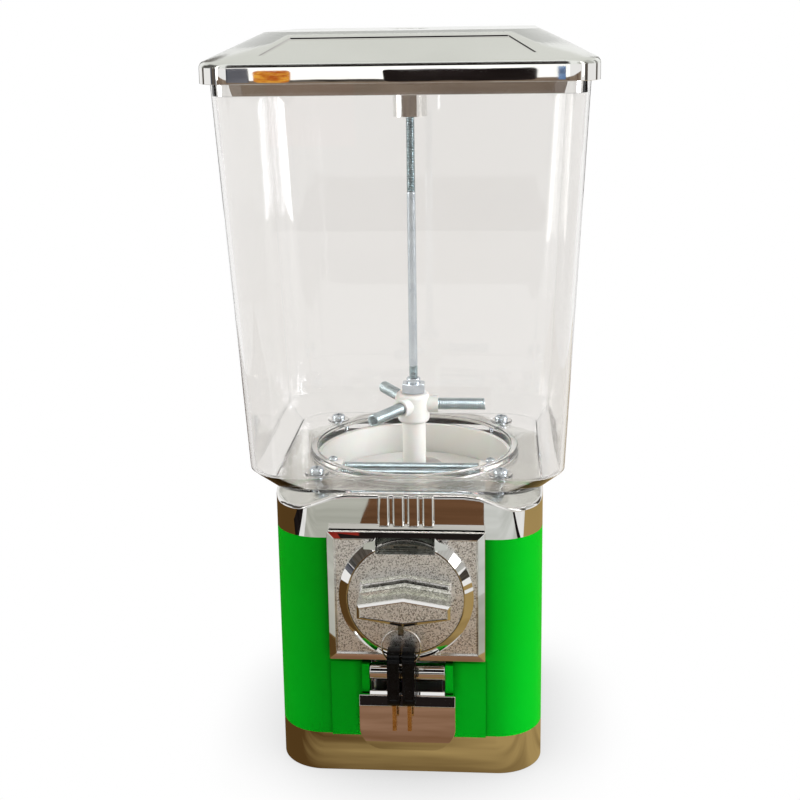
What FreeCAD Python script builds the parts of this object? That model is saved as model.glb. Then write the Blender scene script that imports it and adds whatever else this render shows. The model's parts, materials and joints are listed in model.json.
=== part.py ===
import FreeCAD, Part
import math
import os

# Gumball machine, millimetres. +Z is up, the front faces -Y, the origin is under the middle of the base.

# Stack of the casing
base_height = 22.2
body_height = 114.5
collar_height = 24.7
globe_height = 217.6
body_half = 72.6
body_corner = 25.0
body_wall = 2.5

# Lid
lid_corner = 17.5
lid_skirt_height = 10.0
lid_roof_height = 14.0
lid_top_half = 68.75
lid_top_corner = 9.0
lid_wall = 2.5
lid_edge_radius = 1.5
lid_plug_depth = 6.0
lid_plug_gap = 1.4
lid_rim_depth = 3.0
lid_rim_gap = 1.4
lid_panel_margin = 4.5
lid_panel_foot = 9.0
lid_panel_side = 19.0
lid_panel_depth = 1.0
lid_boss_radius = 10.8
lid_boss_depth = 8.0

# Lock in the lid
lock_radius = 9.35
lock_drop = 22.5
lock_plug_radius = 6.0
lock_plug_length = 15.0
lock_recess = 0.5
keyway_width = 2.0
keyway_length = 8.0
keyway_depth = 10.0

# Globe
globe_foot_inset = 0.6
globe_foot_corner = 21.0
globe_waist_flare = 11.4
globe_waist_corner = 22.0
globe_waist_rise = 12.3
globe_rim_flare = 10.2
globe_rim_corner = 19.0
globe_wall = 2.2
globe_floor = 3.0
throat_step = 1.5
throat_lip_width = 4.0
throat_lip_height = 6.0
globe_boss_radius = 6.5
globe_boss_height = 4.6

# Screws of the globe
globe_screw_step = 10.93
globe_screw_shank = 1.9
globe_screw_head = 4.0
globe_screw_head_height = 2.6
globe_screw_length = 12.0

# Collar
deck_thickness = 5.0
collar_edge_radius = 2.4
collar_block_step = 7.5
collar_block_height = 15.0
scallop_length = 14.3
scallop_radius = 40.0
scallop_depth = 9.0
rib_count = 4
rib_pitch = 7.9
rib_width = 6.5
rib_height = 17.0
rib_relief = 1.6
rib_round = 0.96

# Wheel and its housing
cup_room = 18.6
cup_wall = 2.5
cup_flange_width = 2.7
cup_flange_height = 2.5
wheel_drop = 17.4
wheel_thickness = 18.0
wheel_boss_radius = 10.0
pocket_count = 3
pocket_radius = 14.5
pocket_rim = 8.9
face_teeth = 36
tooth_ring_width = 5.0
tooth_ring_inset = 0.8

# Rod through the middle
rod_radius = 2.5
rod_engagement = 12.0
rod_tail = 6.0
rod_nut_flats = 8.0
rod_nut_height = 4.7
hub_nut_flats = 12.5
hub_nut_height = 5.7
hub_nut_chamfer = 1.5
hub_collar_radius = 4.0
hub_collar_height = 3.0

# Agitator
column_radius = 6.65
column_height = 36.0
head_radius = 9.0
head_height = 17.0
socket_radius = 5.0
socket_reach = 14.0
socket_depth = 4.0
socket_rise = 2.0
stir_wire = 1.2
stir_outer_radius = 3.5
stir_reach = 41.0
stir_curls = 14
stir_count = 3

# Springs across the throat
guard_wire = 1.0
guard_outer_radius = 2.3
guard_span_inset = 0.86
guard_curls = 28
guard_rear_room = 26.5
guard_front_step = 6.0
guard_front_drop = 1.5
guard_height = 0.6
guard_lug_height = 13.0
guard_lug_margin = 4.0
guard_screw_head = 2.6
guard_screw_head_height = 1.8
guard_screw_shank = 1.4
guard_screw_length = 8.0
guard_screw_inset = 6.0

# Coin plate
plate_half_width = 41.875
plate_above = 35.9
plate_below = 37.4
plate_thickness = 7.0
plate_border = 3.8
plate_relief = 1.2
plate_bevel = 1.5
plate_web = 2.0
bezel_width = 4.2
bezel_height = 3.6
bezel_bevel = 1.4
window_half_width = 14.5
window_rise = 25.2
window_border = 0.5
window_depth = 6.5
stud_radius = 2.0
stud_root = 2.4
stud_length = 8.6
stud_x = 35.0
stud_z = 24.0
plate_nut_flats = 7.0
plate_nut_height = 3.2

# Knob and its shaft
knob_radius = 30.7
knob_face = 3.4
grip_half_width = 24.3
grip_end_half_height = 3.9
grip_half_height = 8.0
grip_depth = 18.0
grip_bevel = 1.3
coin_thickness = 2.6
coin_face = 2.4
coin_half_width = 12.5
coin_drop = 20.0
coin_lip = 1.0
shaft_radius = 4.0
shaft_socket = 4.1
eye_thickness = 3.0
eye_width = 6.0
eye_hole = 1.6
eye_drop = 5.6
eye_offset = -2.0

# Mechanism behind the plate
mech_radius = 28.0
mech_wall = 2.0
mech_depth = 15.4
coin_exit_half_width = 13.0
coin_exit_drop = 20.0
ratchet_radius = 18.0
ratchet_tooth = 3.0
ratchet_count = 12
ratchet_thickness = 5.0
ratchet_setback = 5.6
pawl_pivot_x = 17.0
pawl_pivot_z = 14.0
pawl_end_radius = 3.0
pawl_tip_radius = 1.0
pawl_pin_radius = 1.5
pawl_reach = 26.0
pawl_gap = 0.5
gear_teeth = 12
gear_tip_radius = 18.6
gear_tooth_height = 5.1
gear_thickness = 4.8
tooth_tip_width = 1.7
tooth_root_width = 4.0
clip_radius = 6.5
clip_thickness = 0.8
shaft_tail = 0.4

# Panel, chute and door
panel_half_width = 42.0
panel_relief = 1.5
panel_chamfer = 1.2
panel_gap = 2.2
mouth_half_width = 20.5
mouth_sill = 2.5
mouth_top_gap = 0.3
cheek_width = 4.0
cheek_depth = 6.9
cheek_height = 16.0
barrel_radius = 5.8
barrel_drop = 6.7
barrel_offset = 3.9
door_pin_radius = 1.5
door_pin_seat = 3.0
door_wall = 2.0
door_gap = 0.3
flap_foot = 1.3
ledge_height = 3.0
ledge_round = 2.4
ledge_drop = 9.4
lip_half_width = 25.9
lip_height = 29.4
lip_reach = 11.4
lip_corner = 10.0
chute_half_width = 18.0
chute_wall = 1.5
chute_roof_rise = 5.5
chute_roof_fall = 10.0
chute_sill_step = 5.3
chute_fall = 28.0
chute_flange_width = 6.5
chute_flange_lap = 4.0

# Ring and keys
ring_radius = 9.7
ring_wire = 0.9
key_spread = 4.0
key_thickness = 6.5
key_width = 14.0
key_head_above = 7.5
key_head_below = 23.5
key_head_corner = 5.0
key_hole = 4.2
key_door_gap = 0.5
blade_thickness = 2.0
blade_width = 7.0
blade_length = 15.5
blade_notch = 1.2
blade_notches = 4

# Bottom
band_wall = 3.0
plate_base_thickness = 3.0
base_ledge_width = 5.6
base_ledge_height = 3.0
base_boss_inset = 7.3
base_boss_radius = 5.0
base_boss_height = 10.0
base_screw_head = 3.7
base_screw_head_height = 1.4
base_screw_shank = 1.5
base_screw_length = 12.0
base_screw_recess = 0.2

# Screw heads, as shares of the head's own radius and height
head_round = 0.6
recess_reach = 0.6
recess_width = 0.14
recess_floor = 0.45

# Clearances
fit_gap = 0.05
screw_gap = 0.1
part_gap = 0.3
thrust_gap = 0.1
wheel_gap = 0.6
mesh_gap = 0.6
floor_gap = 1.2

# Widths that follow from the body
body_diagonal = (body_half - body_corner) * math.sqrt(2) + body_corner
cup_radius = body_half - cup_room
cup_outer_radius = cup_radius + cup_wall
throat_radius = cup_radius + throat_step
globe_foot_half = body_half - globe_foot_inset
globe_waist_half = globe_foot_half + globe_waist_flare
globe_rim_half = globe_waist_half + globe_rim_flare
globe_screw_place = (throat_radius + throat_lip_width + globe_screw_step) * math.sqrt(0.5)
collar_block_start = cup_outer_radius + collar_block_step
scallop_start = body_diagonal - scallop_length
wheel_radius = cup_radius - wheel_gap
tooth_ring_outer = wheel_radius - tooth_ring_inset
tooth_ring_inner = tooth_ring_outer - tooth_ring_width
pocket_place = wheel_radius - pocket_rim - pocket_radius
guard_rear_place = cup_radius - guard_rear_room
guard_front_place = guard_rear_place + guard_front_step
guard_lug_front = guard_front_place + guard_lug_margin
guard_half_span = math.sqrt(cup_radius ** 2 - guard_lug_front ** 2) - guard_span_inset

# Heights that follow from the stack
collar_z = base_height + body_height
deck_z = collar_z + collar_height
globe_top = deck_z + globe_height
lid_z = globe_top - lid_rim_depth
lid_eave_z = lid_z + lid_skirt_height
lid_top_z = lid_eave_z + lid_roof_height
lock_top_z = lid_top_z - lock_recess
lock_foot_z = lid_z - lock_drop
rod_top_z = lock_foot_z + rod_engagement
floor_top_z = deck_z + globe_floor
wheel_top_z = deck_z - wheel_drop
wheel_foot_z = wheel_top_z - wheel_thickness
hub_top_z = wheel_top_z + column_height + head_height
socket_z = hub_top_z - head_height / 2 + socket_rise

base_boss_place = body_half - body_corner + (body_corner - band_wall - base_boss_inset) * math.sqrt(0.5)

lid_groove_half = globe_rim_half + lid_rim_gap
lid_half = lid_groove_half + lid_wall
lid_plug_half = globe_rim_half - globe_wall - lid_plug_gap
lid_plug_corner = globe_rim_corner - globe_wall - lid_plug_gap

# The knob's axis lies where its gear meets the teeth under the wheel
knob_z = wheel_foot_z - mesh_gap - gear_tip_radius
tooth_tip_z = wheel_foot_z - gear_tooth_height
cup_floor_z = tooth_tip_z - floor_gap
cup_foot_z = cup_floor_z - cup_wall

# Depths, counted from the front of the body
front_y = -body_half
inside_y = front_y + body_wall
plate_y = front_y - plate_thickness
bezel_y = plate_y - bezel_height
web_y = front_y - plate_web
knob_back_y = web_y - part_gap
knob_front_y = plate_y - knob_face
grip_y = knob_front_y - grip_depth
mech_back_y = front_y + mech_depth
gear_front_y = -tooth_ring_outer
gear_back_y = gear_front_y + gear_thickness
shaft_back_y = gear_back_y + clip_thickness + shaft_tail
panel_y = front_y - panel_relief
panel_top_z = knob_z - plate_below - panel_gap
barrel_y = front_y - barrel_offset
barrel_z = panel_top_z - barrel_drop
lip_y = front_y - lip_reach
ledge_z = barrel_z - ledge_drop
key_y = lip_y - key_door_gap - key_width / 2
eye_z = knob_z - grip_half_height - eye_drop
ring_z = eye_z - ring_radius
key_pivot_z = ring_z - math.sqrt(ring_radius ** 2 - key_spread ** 2)


def vec(x, y, z):
    return FreeCAD.Vector(x, y, z)


def block(x0, x1, y0, y1, z0, z1):
    return Part.makeBox(x1 - x0, y1 - y0, z1 - z0, vec(x0, y0, z0))


def upright(radius, z0, z1, x=0.0, y=0.0):
    return Part.makeCylinder(radius, z1 - z0, vec(x, y, z0))


def along_y(radius, y0, y1, x=0.0, z=0.0):
    return Part.makeCylinder(radius, y1 - y0, vec(x, y0, z), vec(0, 1, 0))


def along_x(radius, x0, x1, y=0.0, z=0.0):
    return Part.makeCylinder(radius, x1 - x0, vec(x0, y, z), vec(1, 0, 0))


def turned(shape, degrees, axis=(0, 0, 1), centre=(0, 0, 0)):
    copy = shape.copy()
    copy.rotate(vec(*centre), vec(*axis), degrees)
    return copy


def square_wire(half, corner, z):
    """A square with round corners, flat at height z."""
    flat = half - corner
    bulge = flat + corner * math.sqrt(0.5)
    edges = []
    for quarter in range(4):
        side = Part.makeLine(vec(half, -flat, z), vec(half, flat, z))
        bend = Part.Arc(vec(half, flat, z), vec(bulge, bulge, z), vec(flat, half, z)).toShape()
        edges.append(turned(side, 90 * quarter))
        edges.append(turned(bend, 90 * quarter))
    return Part.Wire(edges)


def prism(half, corner, z0, z1):
    return Part.Face(square_wire(half, corner, z0)).extrude(vec(0, 0, z1 - z0))


def tapered(*sections):
    """A solid through round-cornered squares, each given as half-width, corner and height."""
    return Part.makeLoft([square_wire(*section) for section in sections], True, True)


def outline_yz(points, x0, x1):
    """A polygon of (y, z) points, extruded along X."""
    corners = [vec(x0, y, z) for y, z in points]
    return Part.Face(Part.makePolygon(corners + corners[:1])).extrude(vec(x1 - x0, 0, 0))


def outline_xz(points, y0, y1):
    """A polygon of (x, z) points, extruded along Y."""
    corners = [vec(x, y0, z) for x, z in points]
    return Part.Face(Part.makePolygon(corners + corners[:1])).extrude(vec(0, y1 - y0, 0))


def hexagon(flats, z0, z1):
    """A nut blank across the given flats."""
    reach = flats / math.sqrt(3)
    corners = [vec(reach * math.cos(a), reach * math.sin(a), z0) for a in sixths()]
    return Part.Face(Part.makePolygon(corners + corners[:1])).extrude(vec(0, 0, z1 - z0))


def sixths():
    return [math.radians(60 * step) for step in range(6)]


def four_ways(place):
    return [(sx * place, sy * place) for sx, sy in ((1, 1), (-1, 1), (-1, -1), (1, -1))]


def edges_where(shape, test):
    """The edges whose every sampled point passes the test."""
    return [edge for edge in shape.Edges if all(test(point) for point in edge.discretize(5))]


def near(a, b):
    return abs(a - b) < 0.01


# Casing

def base_band():
    outer = prism(body_half, body_corner, 0, base_height)
    band = outer.cut(prism(body_half - band_wall, body_corner - band_wall, 0, base_height))
    ledge_top = plate_base_thickness + base_ledge_height
    inner_half = body_half - band_wall - base_ledge_width
    inner_corner = body_corner - band_wall - base_ledge_width
    ledge = prism(body_half - band_wall / 2, body_corner - band_wall / 2, plate_base_thickness, ledge_top)
    band = band.fuse(ledge.cut(prism(inner_half, inner_corner, plate_base_thickness, ledge_top)))
    for x, y in four_ways(base_boss_place):
        boss = upright(base_boss_radius, plate_base_thickness, plate_base_thickness + base_boss_height, x, y)
        band = band.fuse(boss)
    for x, y in four_ways(base_boss_place):
        pilot_top = plate_base_thickness + base_screw_length
        band = band.cut(upright(base_screw_shank + screw_gap, 0, pilot_top, x, y))
    return band.removeSplitter()


def bottom_plate():
    inset = band_wall + part_gap
    plate = prism(body_half - inset, body_corner - inset, 0, plate_base_thickness)
    for x, y in four_ways(base_boss_place):
        plate = plate.cut(upright(base_screw_shank + screw_gap, 0, plate_base_thickness, x, y))
        head_seat = base_screw_recess + base_screw_head_height
        plate = plate.cut(upright(base_screw_head + part_gap, 0, head_seat, x, y))
    return plate


def base_screw(x, y):
    head_top = base_screw_recess + base_screw_head_height
    head = upright(base_screw_head, base_screw_recess, head_top, x, y)
    return head.fuse(upright(base_screw_shank, head_top, base_screw_length, x, y))


def body_shell():
    shell = prism(body_half, body_corner, base_height, collar_z)
    panel = block(-panel_half_width, panel_half_width, panel_y, 0, base_height, panel_top_z)
    panel_edges = edges_where(panel, lambda p: near(p.y, panel_y) and not near(p.z, base_height))
    panel = panel.makeChamfer(panel_chamfer, panel_edges)
    shell = shell.fuse(panel)
    for side in (-1, 1):
        x0, x1 = sorted((side * mouth_half_width, side * (mouth_half_width + cheek_width)))
        foot = panel_top_z - cheek_height
        shell = shell.fuse(block(x0, x1, front_y - cheek_depth, 0, foot, panel_top_z))
    inner = prism(body_half - body_wall, body_corner - body_wall, base_height, collar_z)
    shell = shell.cut(inner)
    mouth_top = barrel_z + barrel_radius + mouth_top_gap
    mouth = block(-mouth_half_width, mouth_half_width, lip_y, 0, base_height + mouth_sill, mouth_top)
    shell = shell.cut(mouth)
    pin_reach = mouth_half_width + door_pin_seat
    shell = shell.cut(along_x(door_pin_radius + fit_gap, -pin_reach, pin_reach, barrel_y, barrel_z))
    shell = shell.cut(along_y(mech_radius + part_gap, front_y, inside_y, 0, knob_z))
    for x, z in stud_places():
        shell = shell.cut(along_y(stud_radius + part_gap, front_y, inside_y, x, z))
    return shell.removeSplitter()


def stud_places():
    return [(x, knob_z + z) for x in (-stud_x, stud_x) for z in (-stud_z, stud_z)]


def collar():
    ring = prism(body_half, body_corner, collar_z, deck_z)
    ring = ring.makeFillet(collar_edge_radius, edges_where(ring, lambda p: near(p.z, deck_z)))
    cavity = prism(body_half - body_wall, body_corner - body_wall, collar_z, deck_z - deck_thickness)
    far = 2 * body_half
    for quarter in range(4):
        corner = block(collar_block_start, far, -far, far, deck_z - collar_block_height, deck_z)
        cavity = cavity.cut(turned(corner, 45 + 90 * quarter))
    ring = ring.cut(cavity)
    ring = ring.cut(upright(cup_outer_radius + part_gap, collar_z, deck_z))
    flange_seat = cup_outer_radius + cup_flange_width + part_gap
    ring = ring.cut(upright(flange_seat, deck_z - cup_flange_height, deck_z))
    for quarter in range(4):
        axis_z = deck_z - scallop_depth + scallop_radius
        dip = along_x(scallop_radius, scallop_start, far, 0, axis_z)
        ring = ring.cut(turned(dip, 45 + 90 * quarter))
    for number in range(rib_count):
        x = (number - (rib_count - 1) / 2) * rib_pitch
        rib = block(x - rib_width / 2, x + rib_width / 2, front_y - rib_relief, front_y + rib_relief,
                    deck_z - rib_height, deck_z)
        ends = edges_where(rib, lambda p: near(p.y, front_y - rib_relief))
        ring = ring.fuse(rib.makeFillet(rib_round, ends))
    for x, y in four_ways(globe_screw_place):
        pilot = upright(globe_screw_shank + screw_gap, deck_z - globe_screw_length, deck_z, x, y)
        ring = ring.cut(pilot)
    return ring.removeSplitter()


def globe():
    waist_z = deck_z + globe_waist_rise
    outer = tapered((globe_foot_half, globe_foot_corner, deck_z),
                    (globe_waist_half, globe_waist_corner, waist_z),
                    (globe_rim_half, globe_rim_corner, globe_top))
    inner = tapered((globe_foot_half, globe_foot_corner, floor_top_z),
                    (globe_waist_half - globe_wall, globe_waist_corner - globe_wall, waist_z),
                    (globe_rim_half - globe_wall, globe_rim_corner - globe_wall, globe_top))
    shell = outer.cut(inner)
    lip = upright(throat_radius + throat_lip_width, deck_z, deck_z + throat_lip_height)
    shell = shell.fuse(lip)
    for x, y in four_ways(globe_screw_place):
        shell = shell.fuse(upright(globe_boss_radius, deck_z, deck_z + globe_boss_height, x, y))
    shell = shell.cut(upright(throat_radius, deck_z, deck_z + throat_lip_height))
    for x, y in four_ways(globe_screw_place):
        hole = upright(globe_screw_shank + screw_gap, deck_z, deck_z + globe_boss_height, x, y)
        shell = shell.cut(hole)
    return shell.removeSplitter()


def cross_head(radius, height, shank, length, x, y, seat_z):
    """A pan-head screw with a cross recess, its head resting at seat_z."""
    head = upright(radius, seat_z, seat_z + height, x, y)
    rim = edges_where(head, lambda p: near(p.z, seat_z + height))
    head = head.makeFillet(height * head_round, rim)
    arm = radius * recess_reach
    slot = radius * recess_width
    recess_z = seat_z + height * recess_floor
    head = head.cut(block(x - arm, x + arm, y - slot, y + slot, recess_z, seat_z + height))
    head = head.cut(block(x - slot, x + slot, y - arm, y + arm, recess_z, seat_z + height))
    return head.fuse(upright(shank, seat_z - length, seat_z, x, y))


# Lid and its lock

def lid():
    outer = prism(lid_half, lid_corner, lid_z, lid_eave_z)
    roof = tapered((lid_half, lid_corner, lid_eave_z), (lid_top_half, lid_top_corner, lid_top_z))
    plug = prism(lid_plug_half, lid_plug_corner, lid_z - lid_plug_depth, lid_eave_z)
    shape = outer.fuse(roof)
    shape = shape.makeFillet(lid_edge_radius, edges_where(shape, lambda p: near(p.z, lid_eave_z)))
    for quarter in range(4):
        shape = shape.cut(turned(roof_panel(), 90 * quarter))
    groove_corner = lid_corner - lid_wall
    shape = shape.cut(prism(lid_groove_half, groove_corner, lid_z, lid_z + lid_rim_depth))
    shape = shape.fuse(plug)
    hollow_half = lid_plug_half - lid_wall
    hollow_corner = lid_plug_corner - lid_wall
    roof_run = (lid_half - lid_top_half) / lid_roof_height
    ceiling_z = lid_top_z - lid_wall
    ceiling_half = lid_top_half - lid_wall
    knee_z = lid_eave_z - lid_wall + (lid_half - lid_wall - hollow_half) / roof_run
    shape = shape.cut(prism(hollow_half, hollow_corner, lid_z - lid_plug_depth, knee_z))
    attic = tapered((hollow_half, hollow_corner, knee_z), (ceiling_half, lid_top_corner, ceiling_z))
    shape = shape.cut(attic)
    shape = shape.fuse(upright(lid_boss_radius, lid_z - lid_boss_depth, lid_top_z - lid_wall / 2))
    return shape.cut(upright(lock_radius + fit_gap, lid_z - lid_boss_depth, lid_top_z)).removeSplitter()


def roof_panel():
    """The shallow sunk panel on the front slope, as the solid that is taken away."""
    run = lid_half - lid_top_half
    slope = math.hypot(run, lid_roof_height)
    top = lid_panel_margin
    foot = slope - lid_panel_foot
    half_top = lid_top_half - lid_panel_side + top * run / slope
    half_foot = lid_top_half - lid_panel_side + foot * run / slope
    corners = [(-half_top, top), (half_top, top), (half_foot, foot), (-half_foot, foot)]
    points = [vec(x, -distance, -lid_panel_depth) for x, distance in corners]
    face = Part.Face(Part.makePolygon(points + points[:1]))
    shape = face.extrude(vec(0, 0, 2 * lid_panel_depth))
    corner_edges = [edge for edge in shape.Edges if near(edge.Length, 2 * lid_panel_depth)]
    shape = shape.makeFillet(lid_panel_margin, corner_edges)
    shape.rotate(vec(0, 0, 0), vec(1, 0, 0), math.degrees(math.atan2(lid_roof_height, run)))
    shape.translate(vec(0, -lid_top_half, lid_top_z))
    return shape


def lock_barrel():
    barrel = upright(lock_radius, lock_foot_z, lock_top_z)
    barrel = barrel.cut(upright(lock_plug_radius + fit_gap, lock_top_z - lock_plug_length, lock_top_z))
    bore_top = rod_top_z + part_gap * 2
    return barrel.cut(upright(rod_radius + part_gap, lock_foot_z, bore_top))


def lock_plug():
    plug = upright(lock_plug_radius, lock_top_z - lock_plug_length, lock_top_z)
    half_length = keyway_length / 2
    half_width = keyway_width / 2
    keyway = block(-half_length, half_length, -half_width, half_width, lock_top_z - keyway_depth, lock_top_z)
    return plug.cut(keyway)


# Wheel, its housing and the rod

def wheel_cup():
    cup = upright(cup_outer_radius, cup_foot_z, deck_z)
    cup = cup.fuse(upright(cup_outer_radius + cup_flange_width, deck_z - cup_flange_height, deck_z))
    cup = cup.cut(upright(cup_radius, cup_floor_z, deck_z))
    for side in (-1, 1):
        cup = cup.fuse(guard_lug(side))
    cup = cup.cut(upright(rod_radius + fit_gap, cup_foot_z, cup_floor_z))
    cup = cup.cut(upright(pocket_radius + part_gap, cup_foot_z, cup_floor_z, 0, -pocket_place))
    reach = math.sqrt(gear_tip_radius ** 2 - (cup_foot_z - knob_z) ** 2) + floor_gap
    slot = block(-reach, reach, gear_front_y - mesh_gap, gear_back_y + mesh_gap, cup_foot_z, wheel_foot_z)
    return cup.cut(slot).removeSplitter()


def guard_lug(side):
    """A post inside the housing's wall that holds one end of both guard springs."""
    x0, x1 = sorted((side * guard_half_span, side * cup_radius))
    rear = -guard_rear_place + guard_lug_margin
    top = guard_lug_top()
    lug = block(x0, x1, -guard_lug_front, rear, top - guard_lug_height, top)
    lug = lug.common(upright(cup_radius + cup_wall / 4, top - guard_lug_height, top))
    x, y = guard_screw_place(side)
    return lug.cut(upright(guard_screw_shank + screw_gap, top - guard_screw_length, top, x, y))


def guard_lug_top():
    return deck_z + guard_height + guard_outer_radius + part_gap


def guard_screw_place(side):
    return side * (guard_half_span + guard_screw_inset), -guard_rear_place + guard_lug_margin / 2


def wheel():
    disc = upright(wheel_radius, wheel_foot_z, wheel_top_z)
    disc = disc.fuse(upright(wheel_boss_radius, cup_floor_z + thrust_gap, wheel_foot_z))
    for number in range(face_teeth):
        disc = disc.fuse(turned(face_tooth(), 360 / face_teeth * (number + 0.5) - 90))
    for number in range(pocket_count):
        angle = math.radians(90 + 360 / pocket_count * number)
        x = pocket_place * math.cos(angle)
        y = pocket_place * math.sin(angle)
        disc = disc.cut(upright(pocket_radius, wheel_foot_z, wheel_top_z, x, y))
    return disc.cut(upright(rod_radius + fit_gap, cup_floor_z, wheel_top_z))


def face_tooth():
    """One tooth under the wheel, at +X, tapering downwards."""
    root = tooth_root_width / 2
    tip = tooth_tip_width / 2
    points = [(-root, wheel_foot_z), (root, wheel_foot_z), (tip, tooth_tip_z), (-tip, tooth_tip_z)]
    return outline_yz(points, tooth_ring_inner, tooth_ring_outer)


def agitator_hub():
    column = upright(column_radius, wheel_top_z, hub_top_z - head_height / 2)
    head = upright(head_radius, hub_top_z - head_height, hub_top_z)
    head = head.makeFillet(head_radius - column_radius, head.Edges)
    hub = column.fuse(head)
    for number in range(stir_count):
        angle = 360 / stir_count * number
        hub = hub.fuse(turned(along_x(socket_radius, 0, socket_reach, 0, socket_z), angle))
    for number in range(stir_count):
        angle = 360 / stir_count * number
        seat = along_x(stir_outer_radius + part_gap, socket_reach - socket_depth, socket_reach, 0, socket_z)
        hub = hub.cut(turned(seat, angle))
    return hub.cut(upright(rod_radius + fit_gap, wheel_top_z, hub_top_z)).removeSplitter()


def rod():
    return upright(rod_radius, cup_foot_z - rod_tail, rod_top_z)


def rod_nut():
    nut = hexagon(rod_nut_flats, cup_foot_z - rod_nut_height, cup_foot_z)
    return nut.cut(upright(rod_radius + fit_gap, cup_foot_z - rod_nut_height, cup_foot_z))


def hub_nut():
    foot = hub_top_z + part_gap
    top = foot + hub_nut_height
    nut = hexagon(hub_nut_flats, foot, top)
    inner = hub_nut_flats / 2
    cone = Part.makeCone(inner + hub_nut_chamfer, inner, hub_nut_height, vec(0, 0, foot))
    nut = nut.common(cone).fuse(upright(hub_collar_radius, top, top + hub_collar_height))
    return nut.cut(upright(rod_radius + fit_gap, foot, top + hub_collar_height))


# Springs

def arc_edge(start, tangent, end):
    """The arc that leaves start along the tangent and reaches end."""
    chord = end - start
    along = FreeCAD.Vector(chord).normalize()
    half_turn = tangent.getAngle(along) / 2
    bisector = (tangent + along).normalize()
    middle = start + bisector * (chord.Length / (2 * math.cos(half_turn)))
    return Part.Arc(start, middle, end).toShape()


def biarc(start, start_tangent, end, end_tangent):
    """Two tangent arcs between two points with given directions."""
    span = end - start
    total = start_tangent + end_tangent
    bend = 2 * (1 - start_tangent.dot(end_tangent))
    push = span.dot(total)
    reach = (math.sqrt(push ** 2 + bend * span.dot(span)) - push) / bend
    first = start + start_tangent * reach
    last = end - end_tangent * reach
    joint = (first + last) * 0.5
    return [arc_edge(start, start_tangent, joint), arc_edge(joint, (last - first).normalize(), end)]


def spring(name, length, outer_radius, wire, curls, lead_run):
    """A wound tube along +X from the origin, its ends straight for one tube diameter."""
    coil = outer_radius - wire / 2
    lead_turn = math.pi / 3
    pitch = (length - 2 * (wire + lead_run)) / curls

    def place(x, angle):
        return vec(x, coil * math.cos(angle), coil * math.sin(angle))

    def heading(angle):
        step = vec(pitch / (2 * math.pi), -coil * math.sin(angle), coil * math.cos(angle))
        return step.normalize()

    axis = vec(1, 0, 0)
    begin = wire + lead_run
    edges = [Part.makeLine(place(0, -lead_turn), place(wire, -lead_turn))]
    edges += biarc(place(wire, -lead_turn), axis, place(begin, 0), heading(0))
    for half in range(2 * curls):
        a0 = math.pi * half
        a1 = math.pi * (half + 1)
        x0 = begin + pitch * half / 2
        x1 = begin + pitch * (half + 1) / 2
        edges += biarc(place(x0, a0), heading(a0), place(x1, a1), heading(a1))
    last_turn = 2 * math.pi * curls
    tail = length - wire
    end_turn = last_turn + lead_turn
    edges += biarc(place(length - begin, last_turn), heading(last_turn), place(tail, end_turn), axis)
    edges.append(Part.makeLine(place(tail, end_turn), place(length, end_turn)))
    print(name, "least gap to itself", round(least_gap(edges, coil) - wire, 2))
    profile = Part.Wire(Part.makeCircle(wire / 2, place(0, -lead_turn), axis))
    return Part.Wire(edges).makePipeShell([profile], True, False)


def least_gap(edges, coil):
    """The least distance between points of a path that lie over half a turn apart along it."""
    steps = 5
    points = []
    travelled = 0.0
    for edge in edges:
        for point in edge.discretize(steps + 1)[:-1]:
            points.append((travelled, point))
            travelled += edge.Length / steps
    apart = math.pi * coil
    gaps = []
    for number, (run, point) in enumerate(points):
        for other_run, other in points[number + 1:]:
            if apart < other_run - run < 4 * apart:
                gaps.append(point.distanceToPoint(other))
    return min(gaps)


def stir_spring():
    """The agitator spring at +X."""
    root = socket_reach - socket_depth
    length = stir_reach - root
    shape = spring("agitator spring", length, stir_outer_radius, stir_wire, stir_curls, 2 * stir_wire)
    shape.translate(vec(root, 0, socket_z))
    return shape


def guard_spring(y, z):
    length = 2 * guard_half_span
    shape = spring("guard spring", length, guard_outer_radius, guard_wire, guard_curls, 2 * guard_wire)
    shape.translate(vec(-guard_half_span, y, z))
    return shape


# Coin plate, knob and mechanism

def coin_plate():
    top = knob_z + plate_above
    foot = knob_z - plate_below
    plate = block(-plate_half_width, plate_half_width, plate_y, front_y, foot, top)
    plate = plate.makeChamfer(plate_bevel, edges_where(plate, lambda p: near(p.y, plate_y)))
    field_half = plate_half_width - plate_border
    field_floor = plate_y + plate_relief
    field = block(-field_half, field_half, plate_y, field_floor, foot + plate_border, top - plate_border)
    plate = plate.cut(field)
    bore = knob_radius + part_gap
    bezel = along_y(bore + bezel_width, bezel_y, front_y, 0, knob_z)
    bezel = bezel.makeChamfer(bezel_bevel, edges_where(bezel, lambda p: near(p.y, bezel_y)))
    plate = plate.fuse(bezel)
    plate = plate.cut(along_y(bore, bezel_y, web_y, 0, knob_z))
    plate = plate.cut(along_y(shaft_radius + fit_gap, web_y, front_y, 0, knob_z))
    window_foot = knob_z + window_rise
    window = block(-window_half_width, window_half_width, bezel_y, bezel_y + window_depth,
                   window_foot, top - window_border)
    plate = plate.cut(window)
    for x, z in stud_places():
        plate = plate.fuse(along_y(stud_radius, plate_y + stud_root, front_y + stud_length, x, z))
    return plate.removeSplitter()


def plate_nut(x, z):
    nut = hexagon(plate_nut_flats, 0, plate_nut_height)
    nut = nut.cut(upright(stud_radius + fit_gap, 0, plate_nut_height))
    nut.rotate(vec(0, 0, 0), vec(1, 0, 0), -90)
    nut.translate(vec(x, inside_y, z))
    return nut


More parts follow.
